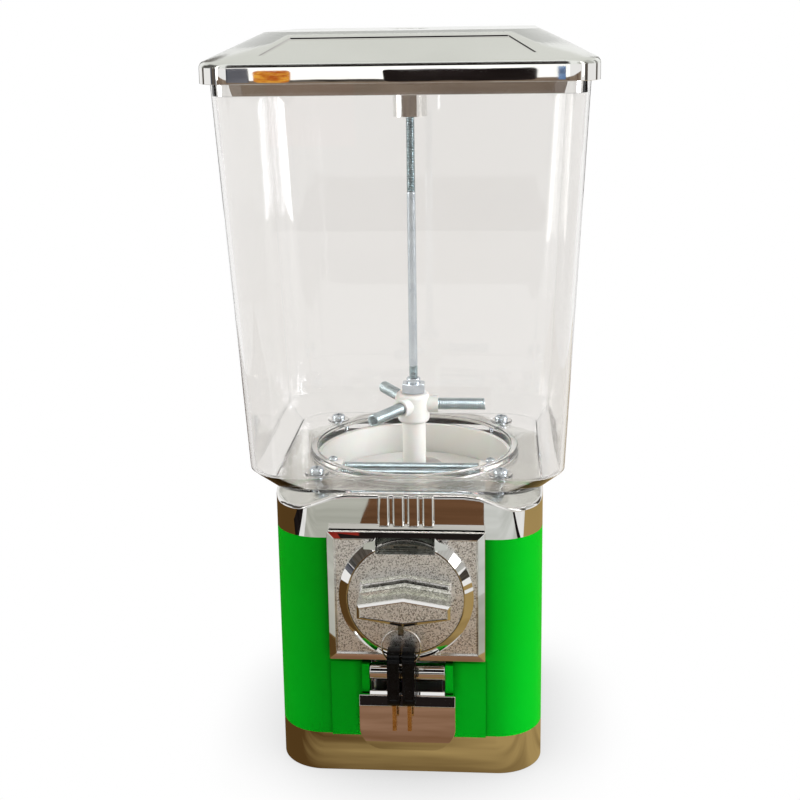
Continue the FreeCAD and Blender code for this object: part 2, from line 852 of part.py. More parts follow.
def knob():
    disc = along_y(knob_radius, knob_front_y, knob_back_y, 0, knob_z)
    points = [(-grip_half_width, grip_end_half_height), (0, grip_half_height),
              (grip_half_width, grip_end_half_height), (grip_half_width, -grip_end_half_height),
              (0, -grip_half_height), (-grip_half_width, -grip_end_half_height)]
    grip = outline_xz([(x, knob_z + z) for x, z in points], grip_y, knob_front_y)
    grip = grip.makeChamfer(grip_bevel, edges_where(grip, lambda p: near(p.y, grip_y)))
    notch_foot = knob_z + window_rise
    notch = block(-window_half_width, window_half_width, knob_front_y, carrier_back_y(),
                  notch_foot, knob_z + knob_radius)
    disc = disc.cut(notch).cut(coin_slot(notch_foot - coin_drop, notch_foot))
    disc = disc.cut(along_y(shaft_radius + fit_gap, knob_back_y - shaft_socket, knob_back_y, 0, knob_z))
    eye_x0 = eye_offset - eye_thickness / 2
    eye_x1 = eye_offset + eye_thickness / 2
    eye = along_x(eye_width / 2, eye_x0, eye_x1, key_y, eye_z)
    eye = eye.fuse(block(eye_x0, eye_x1, key_y - eye_width / 2, key_y + eye_width / 2, eye_z, knob_z))
    eye = eye.cut(along_x(eye_hole, eye_x0, eye_x1, key_y, eye_z))
    return disc.fuse(grip).fuse(eye).removeSplitter()


def carrier_back_y():
    return knob_front_y + coin_face + coin_thickness + coin_lip


def coin_slot(z0, z1):
    slot_y = knob_front_y + coin_face
    return block(-coin_half_width, coin_half_width, slot_y, slot_y + coin_thickness, z0, z1)


def coin_carrier():
    """The block in the knob's notch that the coin slides into."""
    foot = knob_z + window_rise
    half = window_half_width - part_gap
    front = knob_front_y + coin_face - coin_lip
    carrier = block(-half, half, front, carrier_back_y(), foot, knob_z + knob_radius)
    carrier = carrier.common(along_y(knob_radius - part_gap, front, carrier_back_y(), 0, knob_z))
    return carrier.cut(coin_slot(foot, knob_z + knob_radius))


def knob_shaft():
    return along_y(shaft_radius, knob_back_y - shaft_socket, shaft_back_y, 0, knob_z)


def mech_housing():
    cup = along_y(mech_radius, front_y, mech_back_y, 0, knob_z)
    rear_y = mech_back_y - mech_wall
    cup = cup.cut(along_y(mech_radius - mech_wall, front_y, rear_y, 0, knob_z))
    cup = cup.cut(along_y(shaft_radius + fit_gap, rear_y, mech_back_y, 0, knob_z))
    pin_z = knob_z + pawl_pivot_z
    cup = cup.cut(along_y(pawl_pin_radius + fit_gap, rear_y, mech_back_y, pawl_pivot_x, pin_z))
    coin_exit = block(-coin_exit_half_width, coin_exit_half_width, inside_y, rear_y,
                      knob_z - mech_radius, knob_z - coin_exit_drop)
    return cup.cut(coin_exit)


def ratchet_front_y():
    return front_y + ratchet_setback


def ratchet_wheel():
    step = 2 * math.pi / ratchet_count
    points = []
    for number in range(ratchet_count):
        for radius, angle in ((ratchet_radius, number), (ratchet_radius - ratchet_tooth, number + 1)):
            points.append((radius * math.cos(angle * step), knob_z + radius * math.sin(angle * step)))
    ratchet = outline_xz(points, ratchet_front_y(), ratchet_front_y() + ratchet_thickness)
    return ratchet.cut(along_y(shaft_radius + fit_gap, front_y, mech_back_y, 0, knob_z))


def pawl():
    """An arm whose tip rides just clear of the ratchet's teeth."""
    y0 = ratchet_front_y()
    y1 = y0 + ratchet_thickness
    reach = ratchet_radius + pawl_gap + pawl_tip_radius
    tip_angle = math.atan2(pawl_pivot_z, pawl_pivot_x) + math.radians(pawl_reach)
    tip = vec(reach * math.cos(tip_angle), 0, reach * math.sin(tip_angle))
    pivot = vec(pawl_pivot_x, 0, pawl_pivot_z)
    along = (tip - pivot).normalize()
    across = vec(-along.z, 0, along.x)
    corners = [pivot + across * pawl_end_radius, pivot - across * pawl_end_radius,
               tip - across * pawl_tip_radius, tip + across * pawl_tip_radius]
    arm = outline_xz([(corner.x, knob_z + corner.z) for corner in corners], y0, y1)
    arm = arm.fuse(along_y(pawl_end_radius, y0, y1, pivot.x, knob_z + pivot.z))
    arm = arm.fuse(along_y(pawl_tip_radius, y0, y1, tip.x, knob_z + tip.z))
    return arm.cut(along_y(pawl_pin_radius + fit_gap, y0, y1, pivot.x, knob_z + pivot.z)).removeSplitter()


def pawl_pin():
    return along_y(pawl_pin_radius, ratchet_front_y(), mech_back_y, pawl_pivot_x, knob_z + pawl_pivot_z)


def drive_gear():
    root = gear_tip_radius - gear_tooth_height
    gear = along_y(root, gear_front_y, gear_back_y, 0, knob_z)
    half_root = tooth_root_width / 2
    half_tip = tooth_tip_width / 2
    points = [(-half_root, 0), (half_root, 0), (half_root, root), (half_tip, gear_tip_radius),
              (-half_tip, gear_tip_radius), (-half_root, root)]
    tooth = outline_xz([(x, knob_z + z) for x, z in points], gear_front_y, gear_back_y)
    for number in range(gear_teeth):
        gear = gear.fuse(turned(tooth, 360 / gear_teeth * number, (0, 1, 0), (0, 0, knob_z)))
    return gear.cut(along_y(shaft_radius + fit_gap, gear_front_y, gear_back_y, 0, knob_z)).removeSplitter()


def shaft_clip():
    clip = along_y(clip_radius, gear_back_y, gear_back_y + clip_thickness, 0, knob_z)
    return clip.cut(along_y(shaft_radius + fit_gap, gear_back_y, gear_back_y + clip_thickness, 0, knob_z))


# Chute and door

def chute():
    sill_z = base_height + mouth_sill + chute_sill_step
    roof_z = barrel_z + chute_roof_rise
    shoulder_z = roof_z + chute_roof_fall
    back_z = sill_z + chute_fall
    front = -pocket_place - pocket_radius - screw_gap
    back = -pocket_place + pocket_radius + screw_gap
    wall = chute_wall
    inner = [(front, cup_foot_z), (front, shoulder_z), (inside_y, roof_z), (inside_y, sill_z),
             (back, back_z), (back, cup_foot_z)]
    outer = [(front - wall, cup_foot_z), (front - wall, shoulder_z + wall), (inside_y, roof_z + wall),
             (inside_y, sill_z - wall), (back + wall, back_z - wall), (back + wall, cup_foot_z)]
    tube = outline_yz(outer, -chute_half_width - wall, chute_half_width + wall)
    flange_half = chute_half_width + wall + chute_flange_width
    mouth_top = barrel_z + barrel_radius + mouth_top_gap
    flange = block(-flange_half, flange_half, inside_y, inside_y + wall,
                   base_height + part_gap, mouth_top + chute_flange_lap)
    tube = tube.fuse(flange)
    return tube.cut(outline_yz(inner, -chute_half_width, chute_half_width)).removeSplitter()


def chute_door():
    half = mouth_half_width - door_gap
    door = along_x(barrel_radius, -half, half, barrel_y, barrel_z)
    flap_foot_z = base_height + mouth_sill + flap_foot
    door = door.fuse(block(-half, half, front_y - door_wall, front_y, flap_foot_z, barrel_z))
    ledge = block(-half, half, lip_y, front_y, ledge_z - door_wall, ledge_z + ledge_height)
    ledge_edges = edges_where(ledge, lambda p: near(p.y, lip_y) and p.z > ledge_z)
    ledge = ledge.makeFillet(ledge_round, ledge_edges)
    lip_foot_z = ledge_z - lip_height
    lip = block(-lip_half_width, lip_half_width, lip_y, lip_y + door_wall, lip_foot_z, ledge_z)
    foot_corners = edges_where(lip, lambda p: near(abs(p.x), lip_half_width) and near(p.z, lip_foot_z))
    lip = lip.makeFillet(lip_corner, foot_corners)
    door = door.fuse(ledge).fuse(lip)
    return door.cut(along_x(door_pin_radius + fit_gap, -half, half, barrel_y, barrel_z)).removeSplitter()


def door_pin():
    reach = mouth_half_width + door_pin_seat
    return along_x(door_pin_radius, -reach, reach, barrel_y, barrel_z)


# Ring and keys

def key_ring():
    return Part.makeTorus(ring_radius, ring_wire, vec(eye_offset, key_y, ring_z), vec(0, 1, 0))


def key_x(side):
    return eye_offset + side * key_spread


def key_head(side):
    x0 = key_x(side) - key_thickness / 2
    x1 = key_x(side) + key_thickness / 2
    foot = key_pivot_z - key_head_below
    head = block(x0, x1, key_y - key_width / 2, key_y + key_width / 2, foot, key_pivot_z + key_head_above)
    head = head.makeFillet(key_head_corner, [edge for edge in head.Edges if near(edge.Length, key_thickness)])
    return head.cut(along_x(key_hole, x0, x1, key_y, key_pivot_z))


def key_blade(side):
    top = key_pivot_z - key_head_below
    front = key_y - blade_width / 2
    rear = key_y + blade_width / 2
    foot = top - blade_length
    points = [(front, top), (front, foot + blade_notch), (key_y, foot)]
    step = (blade_length - 2 * blade_notch) / blade_notches
    for number in range(blade_notches):
        z = foot + blade_notch + step * number
        points.append((rear - blade_notch, z))
        points.append((rear, z + step / 2))
    points.append((rear, top))
    return outline_yz(points, key_x(side) - blade_thickness / 2, key_x(side) + blade_thickness / 2)


def all_parts():
    parts = {"base_band": base_band(), "bottom_plate": bottom_plate(), "body_shell": body_shell(),
             "collar": collar(), "globe": globe(), "lid": lid(), "lock_barrel": lock_barrel(),
             "lock_plug": lock_plug(), "wheel_cup": wheel_cup(), "wheel": wheel(),
             "agitator_hub": agitator_hub(), "rod": rod(), "rod_nut": rod_nut(), "hub_nut": hub_nut(),
             "coin_plate": coin_plate(), "knob": knob(), "coin_carrier": coin_carrier(),
             "knob_shaft": knob_shaft(), "mech_housing": mech_housing(), "ratchet_wheel": ratchet_wheel(),
             "pawl": pawl(), "pawl_pin": pawl_pin(), "drive_gear": drive_gear(), "shaft_clip": shaft_clip(),
             "chute": chute(), "chute_door": chute_door(), "door_pin": door_pin(), "key_ring": key_ring()}
    for number, (x, y) in enumerate(four_ways(base_boss_place), 1):
        parts["base_screw_%d" % number] = base_screw(x, y)
    for number, (x, y) in enumerate(four_ways(globe_screw_place), 1):
        parts["globe_screw_%d" % number] = cross_head(
            globe_screw_head, globe_screw_head_height, globe_screw_shank, globe_screw_length,
            x, y, deck_z + globe_boss_height)
    for number, (x, z) in enumerate(stud_places(), 1):
        parts["plate_nut_%d" % number] = plate_nut(x, z)
    for number in range(stir_count):
        parts["agitator_spring_%d" % (number + 1)] = turned(stir_spring(), 360 / stir_count * number)
    rear_z = deck_z + guard_height
    parts["guard_spring_rear"] = guard_spring(-guard_rear_place, rear_z)
    parts["guard_spring_front"] = guard_spring(-guard_front_place, rear_z - guard_front_drop)
    for side, name in ((-1, "left"), (1, "right")):
        x, y = guard_screw_place(side)
        parts["guard_screw_" + name] = cross_head(
            guard_screw_head, guard_screw_head_height, guard_screw_shank, guard_screw_length,
            x, y, guard_lug_top())
        parts["key_head_" + name] = key_head(side)
        parts["key_blade_" + name] = key_blade(side)
    return parts


os.makedirs("parts", exist_ok=True)
for node, shape in all_parts().items():
    print(node, shape.isValid(), len(shape.Solids), round(shape.Volume, 1))
    shape.exportStep("parts/" + node + ".step")
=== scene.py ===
import json
import math

import bmesh
import bpy
from mathutils import Matrix, Vector


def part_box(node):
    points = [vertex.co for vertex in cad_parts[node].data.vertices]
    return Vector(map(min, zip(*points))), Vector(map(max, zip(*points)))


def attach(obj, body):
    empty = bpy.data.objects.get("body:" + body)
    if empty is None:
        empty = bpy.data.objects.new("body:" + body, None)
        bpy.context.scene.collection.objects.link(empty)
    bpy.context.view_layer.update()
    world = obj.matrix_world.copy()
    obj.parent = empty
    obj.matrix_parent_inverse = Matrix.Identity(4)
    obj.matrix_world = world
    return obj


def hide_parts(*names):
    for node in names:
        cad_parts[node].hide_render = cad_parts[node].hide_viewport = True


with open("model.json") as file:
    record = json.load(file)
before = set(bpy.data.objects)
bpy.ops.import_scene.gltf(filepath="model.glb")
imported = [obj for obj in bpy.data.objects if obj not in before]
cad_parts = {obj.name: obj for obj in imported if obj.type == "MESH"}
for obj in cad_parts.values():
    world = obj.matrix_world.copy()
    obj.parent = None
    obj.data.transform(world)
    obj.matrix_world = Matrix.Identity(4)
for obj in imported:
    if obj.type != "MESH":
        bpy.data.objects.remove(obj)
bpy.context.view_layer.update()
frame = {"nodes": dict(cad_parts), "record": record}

nodes = frame["nodes"]
MM = 0.001

# Camera, from the photograph's 800 pixel frame: metres, radians and pixels
IMAGE_SIZE = 800
CAMERA_PLACE = Vector((0.0520, -0.7505, 0.4090))
CAMERA_PITCH = 0.2292
CAMERA_YAW = -0.0789
CAMERA_ROLL = -0.0154
FOCAL_PIXELS = 1365.2
HORIZON_CENTRE_PIXEL = 330


# Camera, light and stage

def make_camera():
    data = bpy.data.cameras.new("camera")
    data.sensor_width = 36.0
    data.lens = FOCAL_PIXELS / IMAGE_SIZE * data.sensor_width
    data.shift_y = (HORIZON_CENTRE_PIXEL - IMAGE_SIZE / 2) / IMAGE_SIZE
    data.clip_start = 0.01
    data.clip_end = 50.0
    camera = bpy.data.objects.new("camera", data)
    bpy.context.scene.collection.objects.link(camera)
    level = Vector((math.sin(CAMERA_YAW), math.cos(CAMERA_YAW), 0))
    forward = level * math.cos(CAMERA_PITCH) - Vector((0, 0, math.sin(CAMERA_PITCH)))
    right = Vector((math.cos(CAMERA_YAW), -math.sin(CAMERA_YAW), 0))
    up = right.cross(forward)
    tilted_right = right * math.cos(CAMERA_ROLL) + up * math.sin(CAMERA_ROLL)
    tilted_up = up * math.cos(CAMERA_ROLL) - right * math.sin(CAMERA_ROLL)
    facing = Matrix((tilted_right, tilted_up, -forward)).transposed().to_4x4()
    camera.matrix_world = Matrix.Translation(CAMERA_PLACE) @ facing
    bpy.context.scene.camera = camera


def hang_lamp(name, data, place, aim):
    """Hangs a lamp that leaves no glint of its own."""
    lamp = bpy.data.objects.new(name, data)
    bpy.context.scene.collection.objects.link(lamp)
    lamp.location = place
    lamp.rotation_euler = (Vector(aim) - Vector(place)).to_track_quat("-Z", "Y").to_euler()
    lamp.visible_glossy = False


def soft_lamp(name, place, aim, width, height, watts, colour):
    """A wide lamp."""
    data = bpy.data.lights.new(name, "AREA")
    data.shape = "RECTANGLE"
    data.size = width
    data.size_y = height
    data.energy = watts
    data.color = colour
    hang_lamp(name, data, place, aim)


def spot_lamp(name, place, aim, cone, watts):
    """A beam that fades towards its edge."""
    data = bpy.data.lights.new(name, "SPOT")
    data.spot_size = math.radians(cone)
    data.spot_blend = 1.0
    data.shadow_soft_size = 0.2
    data.energy = watts
    hang_lamp(name, data, place, aim)


LAMP_AIM = (0, 0, 0.2)


def make_lamps():
    soft_lamp("lamp_right", (1.75, -0.35, 0.9), LAMP_AIM, 1.1, 1.4, 46, (0.96, 1.0, 1.1))
    soft_lamp("lamp_left", (-1.75, -0.35, 0.8), LAMP_AIM, 1.0, 1.3, 22, (0.97, 0.99, 1.0))
    soft_lamp("lamp_top", (0.1, -0.2, 1.7), LAMP_AIM, 1.2, 1.2, 13, (1.0, 1.0, 1.0))
    spot_lamp("lamp_front", (0.5, -1.8, 0.4), (0.24, -0.07, 0.06), 18, 84)


def sight_share(tree):
    """One for camera, mirror and see-through rays, zero for the rays that carry light."""
    path = tree.nodes.new("ShaderNodeLightPath")
    total = path.outputs["Is Camera Ray"]
    for kind in ("Is Transmission Ray", "Is Glossy Ray"):
        larger = tree.nodes.new("ShaderNodeMath")
        larger.operation = "MAXIMUM"
        tree.links.new(total, larger.inputs[0])
        tree.links.new(path.outputs[kind], larger.inputs[1])
        total = larger.outputs[0]
    return total


def set_sockets(node, **values):
    """Sets the inputs of a node, where an underscore stands for a space."""
    for socket, value in values.items():
        node.inputs[socket.replace("_", " ")].default_value = value


def add_node(tree, kind, **values):
    node = tree.nodes.new(kind)
    set_sockets(node, **values)
    return node


def mix_surfaces(tree, share, first, second):
    """Mixes two surfaces, where a share of one shows the second alone."""
    mix = tree.nodes.new("ShaderNodeMixShader")
    tree.links.new(share, mix.inputs["Fac"])
    tree.links.new(first, mix.inputs[1])
    tree.links.new(second, mix.inputs[2])
    return mix.outputs[0]


def make_world():
    world = bpy.data.worlds.new("pale_room")
    bpy.context.scene.world = world
    world.use_nodes = True
    tree = world.node_tree
    dim = tree.nodes["Background"]
    set_sockets(dim, Color=(1.0, 0.985, 0.96, 1), Strength=0.19)
    white = add_node(tree, "ShaderNodeBackground", Color=(1, 1, 1, 1))
    room = mix_surfaces(tree, sight_share(tree), dim.outputs[0], white.outputs[0])
    tree.links.new(room, tree.nodes["World Output"].inputs["Surface"])


def make_floor():
    """A white floor that shades only close to what stands on it."""
    deselect()
    bpy.ops.mesh.primitive_plane_add(size=12, location=(0, 0, -0.2 * MM))
    floor = bpy.context.object
    floor.name = "floor"
    material = bpy.data.materials.new("floor_white")
    material.use_nodes = True
    tree = material.node_tree
    shader = tree.nodes["Principled BSDF"]
    set_sockets(shader, Base_Color=(0.42, 0.42, 0.41, 1), Roughness=0.8, Specular_IOR_Level=0.1)
    nearness = add_node(tree, "ShaderNodeAmbientOcclusion", Distance=0.06)
    shadow = add_node(tree, "ShaderNodeMapRange", From_Min=0.2, From_Max=0.95, To_Min=0.62)
    tree.links.new(nearness.outputs["AO"], shadow.inputs["Value"])
    white = tree.nodes.new("ShaderNodeEmission")
    tree.links.new(shadow.outputs["Result"], white.inputs["Strength"])
    surface = mix_surfaces(tree, sight_share(tree), shader.outputs[0], white.outputs[0])
    tree.links.new(surface, tree.nodes["Material Output"].inputs["Surface"])
    floor.data.materials.append(material)


def card(name, low, high, paints, grain=8.0, lean=0.0, corner=0.0, behind_glass=False):
    """A surface that only mirrors see, streaked between two paints and paler to the right."""
    panel = cube(name, low, high)
    if corner:
        with Shaping(panel):
            pick("EDGE", lambda edge: run(edge).y > 0.9)
            round_edges(corner, 6)
    panel.visible_camera = False
    panel.visible_diffuse = False
    panel.visible_transmission = behind_glass
    panel.visible_shadow = False
    material = bpy.data.materials.new(name + "_paint")
    material.use_nodes = True
    tree = material.node_tree
    tree.nodes.remove(tree.nodes["Principled BSDF"])
    place = tree.nodes.new("ShaderNodeNewGeometry")
    stretch = add_node(tree, "ShaderNodeMapping", Scale=(0.35, 2.6, 1.0))
    streaks = add_node(tree, "ShaderNodeTexNoise", Scale=grain, Detail=4.0)
    split = tree.nodes.new("ShaderNodeSeparateXYZ")
    slant = tree.nodes.new("ShaderNodeMath")
    slant.operation = "MULTIPLY_ADD"
    slant.inputs[1].default_value = lean
    ramp = tree.nodes.new("ShaderNodeValToRGB")
    for element, position, paint_colour in zip(ramp.color_ramp.elements, (0.32, 0.68), paints):
        element.position = position
        element.color = (*paint_colour, 1)
    glow = tree.nodes.new("ShaderNodeEmission")
    tree.links.new(place.outputs["Position"], stretch.inputs["Vector"])
    tree.links.new(place.outputs["Position"], split.inputs["Vector"])
    tree.links.new(stretch.outputs["Vector"], streaks.inputs["Vector"])
    tree.links.new(split.outputs["X"], slant.inputs[0])
    tree.links.new(streaks.outputs["Fac"], slant.inputs[2])
    tree.links.new(slant.outputs[0], ramp.inputs["Fac"])
    tree.links.new(ramp.outputs["Color"], glow.inputs["Color"])
    surface = glow.outputs[0]
    if behind_glass:
        path = tree.nodes.new("ShaderNodeLightPath")
        open_way = tree.nodes.new("ShaderNodeBsdfTransparent")
        surface = mix_surfaces(tree, path.outputs["Glossy Depth"], open_way.outputs[0], surface)
    tree.links.new(surface, tree.nodes["Material Output"].inputs["Surface"])
    panel.data.materials.append(material)


TABLE = 0.4 * MM
CLOTH = 0.8 * MM
SILL = 0.262
WOOD = ((0.10, 0.052, 0.015), (0.43, 0.30, 0.115))
ROSY_WOOD = ((0.20, 0.10, 0.05), (0.38, 0.22, 0.14))
SHADED_WOOD = ((0.09, 0.042, 0.018), (0.20, 0.10, 0.05))
PALE_CLOTH = ((0.40, 0.41, 0.36), (0.60, 0.61, 0.55))
WHITE_CLOTH = ((0.55, 0.57, 0.54), (0.78, 0.80, 0.78))
SHEET = ((0.86, 0.87, 0.86), (1.0, 1.0, 1.0))
BLACK = ((0.004, 0.003, 0.003), (0.020, 0.015, 0.014))
SLATE = ((0.05, 0.055, 0.07), (0.24, 0.24, 0.27))
RED = ((0.20, 0.012, 0.010), (0.42, 0.05, 0.03))
FLAME = ((0.40, 0.015, 0.006), (1.0, 0.50, 0.06))
BLUE = ((0.02, 0.06, 0.16), (0.20, 0.34, 0.60))
BROWN_WALL = ((0.13, 0.085, 0.06), (0.32, 0.25, 0.19))
WHITE_WALL = ((1.30, 1.30, 1.26), (1.45, 1.45, 1.42))
DIM_WALL = ((0.05, 0.05, 0.048), (0.14, 0.135, 0.13))
LIT_WALL = ((0.46, 0.46, 0.44), (0.64, 0.64, 0.62))
WINDOW_LIGHT = ((3.6, 3.6, 3.5), (4.6, 4.6, 4.5))
CEILING = ((0.74, 0.74, 0.71), (0.86, 0.86, 0.84))
DARK_POST = ((0.03, 0.025, 0.02), (0.16, 0.14, 0.12))
POST_BEARINGS = (70, 118, 160, 205, 250, 298)
POST_DISTANCE = 2.2
POST_HALF = 0.16
POST_HEIGHT = 1.5


def make_cards():
    """What the mirrors show: a wooden table, pale walls and a few dark things."""
    card("table_top", (-0.7, -0.60, 0.0), (0.7, 0.7, TABLE), WOOD, 14.0, 1.8)
    card("table_rosy", (-0.055, -0.235, TABLE), (0.055, -0.125, CLOTH), ROSY_WOOD, 22.0)
    card("table_shade", (-0.067, -0.66, TABLE), (0.040, -0.345, CLOTH), SHADED_WOOD)
    card("table_left", (-0.285, -0.66, TABLE), (-0.067, -0.30, CLOTH), PALE_CLOTH)
    card("table_left_near", (-0.285, -0.30, TABLE), (-0.085, -0.225, CLOTH), PALE_CLOTH)
    card("left_sheet", (-0.345, -0.66, TABLE), (-0.285, -0.20, CLOTH), SHEET)
    card("left_gap", (-0.43, -0.46, TABLE), (-0.345, -0.20, CLOTH), BLACK)
    card("table_right", (0.040, -0.66, TABLE), (0.335, -0.30, CLOTH), WHITE_CLOTH)
    card("table_right_near", (0.075, -0.30, TABLE), (0.335, -0.215, CLOTH), PALE_CLOTH)
    card("right_gap", (0.335, -0.50, TABLE), (0.365, -0.18, CLOTH), BLACK)
    card("right_sheet", (0.365, -0.50, TABLE), (0.47, -0.18, CLOTH), SHEET)
    card("dark_front", (-0.150, -1.26, 0.118), (0.25, -1.25, 0.290), BLACK)
    card("red_front", (-0.27, -1.26, 0.118), (-0.150, -1.25, 0.290), RED, 20.0)
    card("dark_foot", (-0.27, -1.26, 0.0), (0.25, -1.25, 0.118), BLACK)
    card("dark_figure", (-0.50, -1.27, 0.50), (0.40, -1.26, 1.7), BLACK)
    far_things = [("dark_thing", -0.195, 0.118, 0.330, BLACK, 8.0, 0.012),
                  ("flame_thing", -0.463, -0.388, 0.332, FLAME, 170.0, 0.014),
                  ("dark_row", -0.388, -0.195, 0.275, DARK_POST, 40.0, 0.0),
                  ("slate_left", -0.80, -0.475, 0.345, SLATE, 10.0, 0.0),
                  ("blue_post", 0.165, 0.182, 0.335, BLUE, 30.0, 0.0),
                  ("dark_post", 0.200, 0.212, 0.345, BLACK, 30.0, 0.0)]
    for name, left, right, top, paints, grain, corner in far_things:
        card(name, (left, -2.22, SILL), (right, -2.20, top), paints, grain, corner=corner)
    card("low_wall", (-3.0, -2.44, 0.0), (3.0, -2.42, SILL), BROWN_WALL, behind_glass=True)
    card("bright_wall", (-0.75, -2.47, 0.0), (0.75, -2.45, 0.62), WHITE_WALL)
    card("dim_side", (-2.32, -2.6, 0.45), (-2.30, 0.6, 2.6), DIM_WALL)
    card("slate_side", (-2.28, -1.7, 0.0), (-2.26, -0.7, 0.42), SLATE)
    card("lit_side", (2.30, -2.6, 0.45), (2.32, 0.6, 2.6), LIT_WALL)
    card("left_window", (-1.54, -1.30, 0.30), (-1.42, -1.20, 1.7), WINDOW_LIGHT)
    card("right_window", (1.56, -1.06, 0.30), (1.70, -0.94, 1.7), WINDOW_LIGHT)
    card("ceiling", (-3.0, -1.2, 2.60), (3.0, 3.5, 2.62), CEILING)
    for number, bearing in enumerate(POST_BEARINGS):
        angle = math.radians(bearing)
        x = POST_DISTANCE * math.sin(angle)
        y = -POST_DISTANCE * math.cos(angle)
        card("post_%d" % number, (x - POST_HALF, y - POST_HALF, 0.0),
             (x + POST_HALF, y + POST_HALF, POST_HEIGHT), DARK_POST)


# Ways of working

OVERRUN = 5.0 * MM
TOUCHING = 0.1 * MM
NEARBY = 1.0 * MM
SLIVER = 0.02 * MM
LOOP_STEP = 0.02 * MM
CORNER_STEPS = 12
WIRE_ANGLE = 60


def deselect():
    bpy.ops.object.select_all(action="DESELECT")


def take(piece):
    deselect()
    piece.select_set(True)
    bpy.context.view_layer.objects.active = piece


def fix_place(piece):
    """Puts the place, turn and size of a piece into its mesh."""
    take(piece)
    bpy.ops.object.transform_apply(location=True, rotation=True, scale=True)


def named(name):
    """Names the primitive that was just added and puts its place into its mesh."""
    piece = bpy.context.object
    piece.name = name
    piece.data.name = name
    fix_place(piece)
    return piece


def cube(name, low, high):
    low = Vector(low)
    high = Vector(high)
    deselect()
    bpy.ops.mesh.primitive_cube_add(size=1, location=(low + high) / 2, scale=high - low)
    return named(name)


def round_bar(name, radius, start, end, sides=64):
    """A cylinder between two points."""
    start = Vector(start)
    end = Vector(end)
    facing = (end - start).to_track_quat("Z", "Y").to_euler()
    deselect()
    bpy.ops.mesh.primitive_cylinder_add(vertices=sides, radius=radius, depth=(end - start).length,
                                        location=(start + end) / 2, rotation=facing)
    return named(name)


class Shaping:
    """Edit mode on one piece."""

    def __init__(self, piece):
        self.piece = piece

    def __enter__(self):
        take(self.piece)
        bpy.ops.object.mode_set(mode="EDIT")

    def __exit__(self, *error):
        bpy.ops.object.mode_set(mode="OBJECT")


def pick(kind, test):
    """Selects the vertices, edges or faces, in edit mode, that pass the test."""
    bpy.ops.mesh.select_mode(type=kind)
    bpy.ops.mesh.select_all(action="DESELECT")
    data = bpy.context.object.data
    mesh = bmesh.from_edit_mesh(data)
    mesh.normal_update()
    for item in {"VERT": mesh.verts, "EDGE": mesh.edges, "FACE": mesh.faces}[kind]:
        item.select_set(bool(test(item)))
    mesh.select_flush_mode()
    bmesh.update_edit_mesh(data)


def centre(name):
    """The middle of a node's box."""
    low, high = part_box(name)
    return (low + high) / 2


def middle(item):
    return sum((corner.co for corner in item.verts), Vector()) / len(item.verts)


def run(edge):
    """The direction of an edge, without its sign."""
    step = (edge.verts[1].co - edge.verts[0].co).normalized()
    return Vector([abs(part) for part in step])


def move(x, y, z):
    bpy.ops.transform.translate(value=(x, y, z))


def round_edges(width, segments):
    bpy.ops.mesh.bevel(offset=width, segments=segments, affect="EDGES")


def inset(width, depth=0.0):
    bpy.ops.mesh.inset(thickness=width, depth=depth)


def face_outwards():
    bpy.ops.mesh.select_all(action="SELECT")
    bpy.ops.mesh.normals_make_consistent(inside=False)


def push(x, y, z):
    bpy.ops.mesh.extrude_region_move(TRANSFORM_OT_translate={"value": (x, y, z)})


def apply(piece, modifier):
    take(piece)
    bpy.ops.object.modifier_apply(modifier=modifier.name)


def soften(piece, width, segments=3, angle=32):
    """Rounds the sharp edges of a piece and shades it evenly."""
    bevel = piece.modifiers.new("soft_edges", "BEVEL")
    bevel.width = width
    bevel.segments = segments
    bevel.limit_method = "ANGLE"
    bevel.angle_limit = math.radians(angle)
    apply(piece, bevel)
    even(piece)


def even(piece, angle=40):
    take(piece)
    bpy.ops.object.shade_smooth_by_angle(angle=math.radians(angle))
    weigh = piece.modifiers.new("even_shading", "WEIGHTED_NORMAL")
    weigh.keep_sharp = True
    apply(piece, weigh)


def carve(piece, cutter, operation="DIFFERENCE"):
    """Cuts a piece by another one, or joins them, and removes the other one."""
    cut = piece.modifiers.new("carving", "BOOLEAN")
    cut.operation = operation
    cut.solver = "EXACT"
    cut.object = cutter
    apply(piece, cut)
    bpy.data.objects.remove(cutter)


def clean(piece):
    """Merges the slivers that a cut leaves."""
    with Shaping(piece):
        bpy.ops.mesh.select_all(action="SELECT")
        bpy.ops.mesh.remove_doubles(threshold=SLIVER)
        bpy.ops.mesh.dissolve_degenerate(threshold=SLIVER)
        face_outwards()


def join(piece, *others):
    take(piece)
    for other in others:
        other.select_set(True)
    bpy.ops.object.join()
    return piece


def twin(piece, name):
    """A copy of a piece with a mesh of its own."""
    copy = piece.copy()
    copy.data = piece.data.copy()
    copy.name = name
    copy.data.name = name
    bpy.context.scene.collection.objects.link(copy)
    return copy


def turn(piece, degrees, axis="Z"):
    piece.matrix_world = Matrix.Rotation(math.radians(degrees), 4, axis) @ piece.matrix_world
    fix_place(piece)


def shift(piece, x, y, z):
    take(piece)
    move(x, y, z)
    fix_place(piece)


def paint(piece, finish, test):
    """Gives the faces that pass the test a second finish."""
    piece.data.materials.append(finish)
    number = len(piece.data.materials) - 1
    for face in piece.data.polygons:
        if test(face):
            face.material_index = number


def settle(piece, body, slot, *stands_for, finish=None):
    """Hands a finished piece to the frame, in the finish of its slot or one of its own."""
    fix_place(piece)
    piece.data.materials.clear()
    piece.data.materials.append(finish or FINISHES[slot])
    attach(piece, body)
    if stands_for:
        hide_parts(*stands_for)


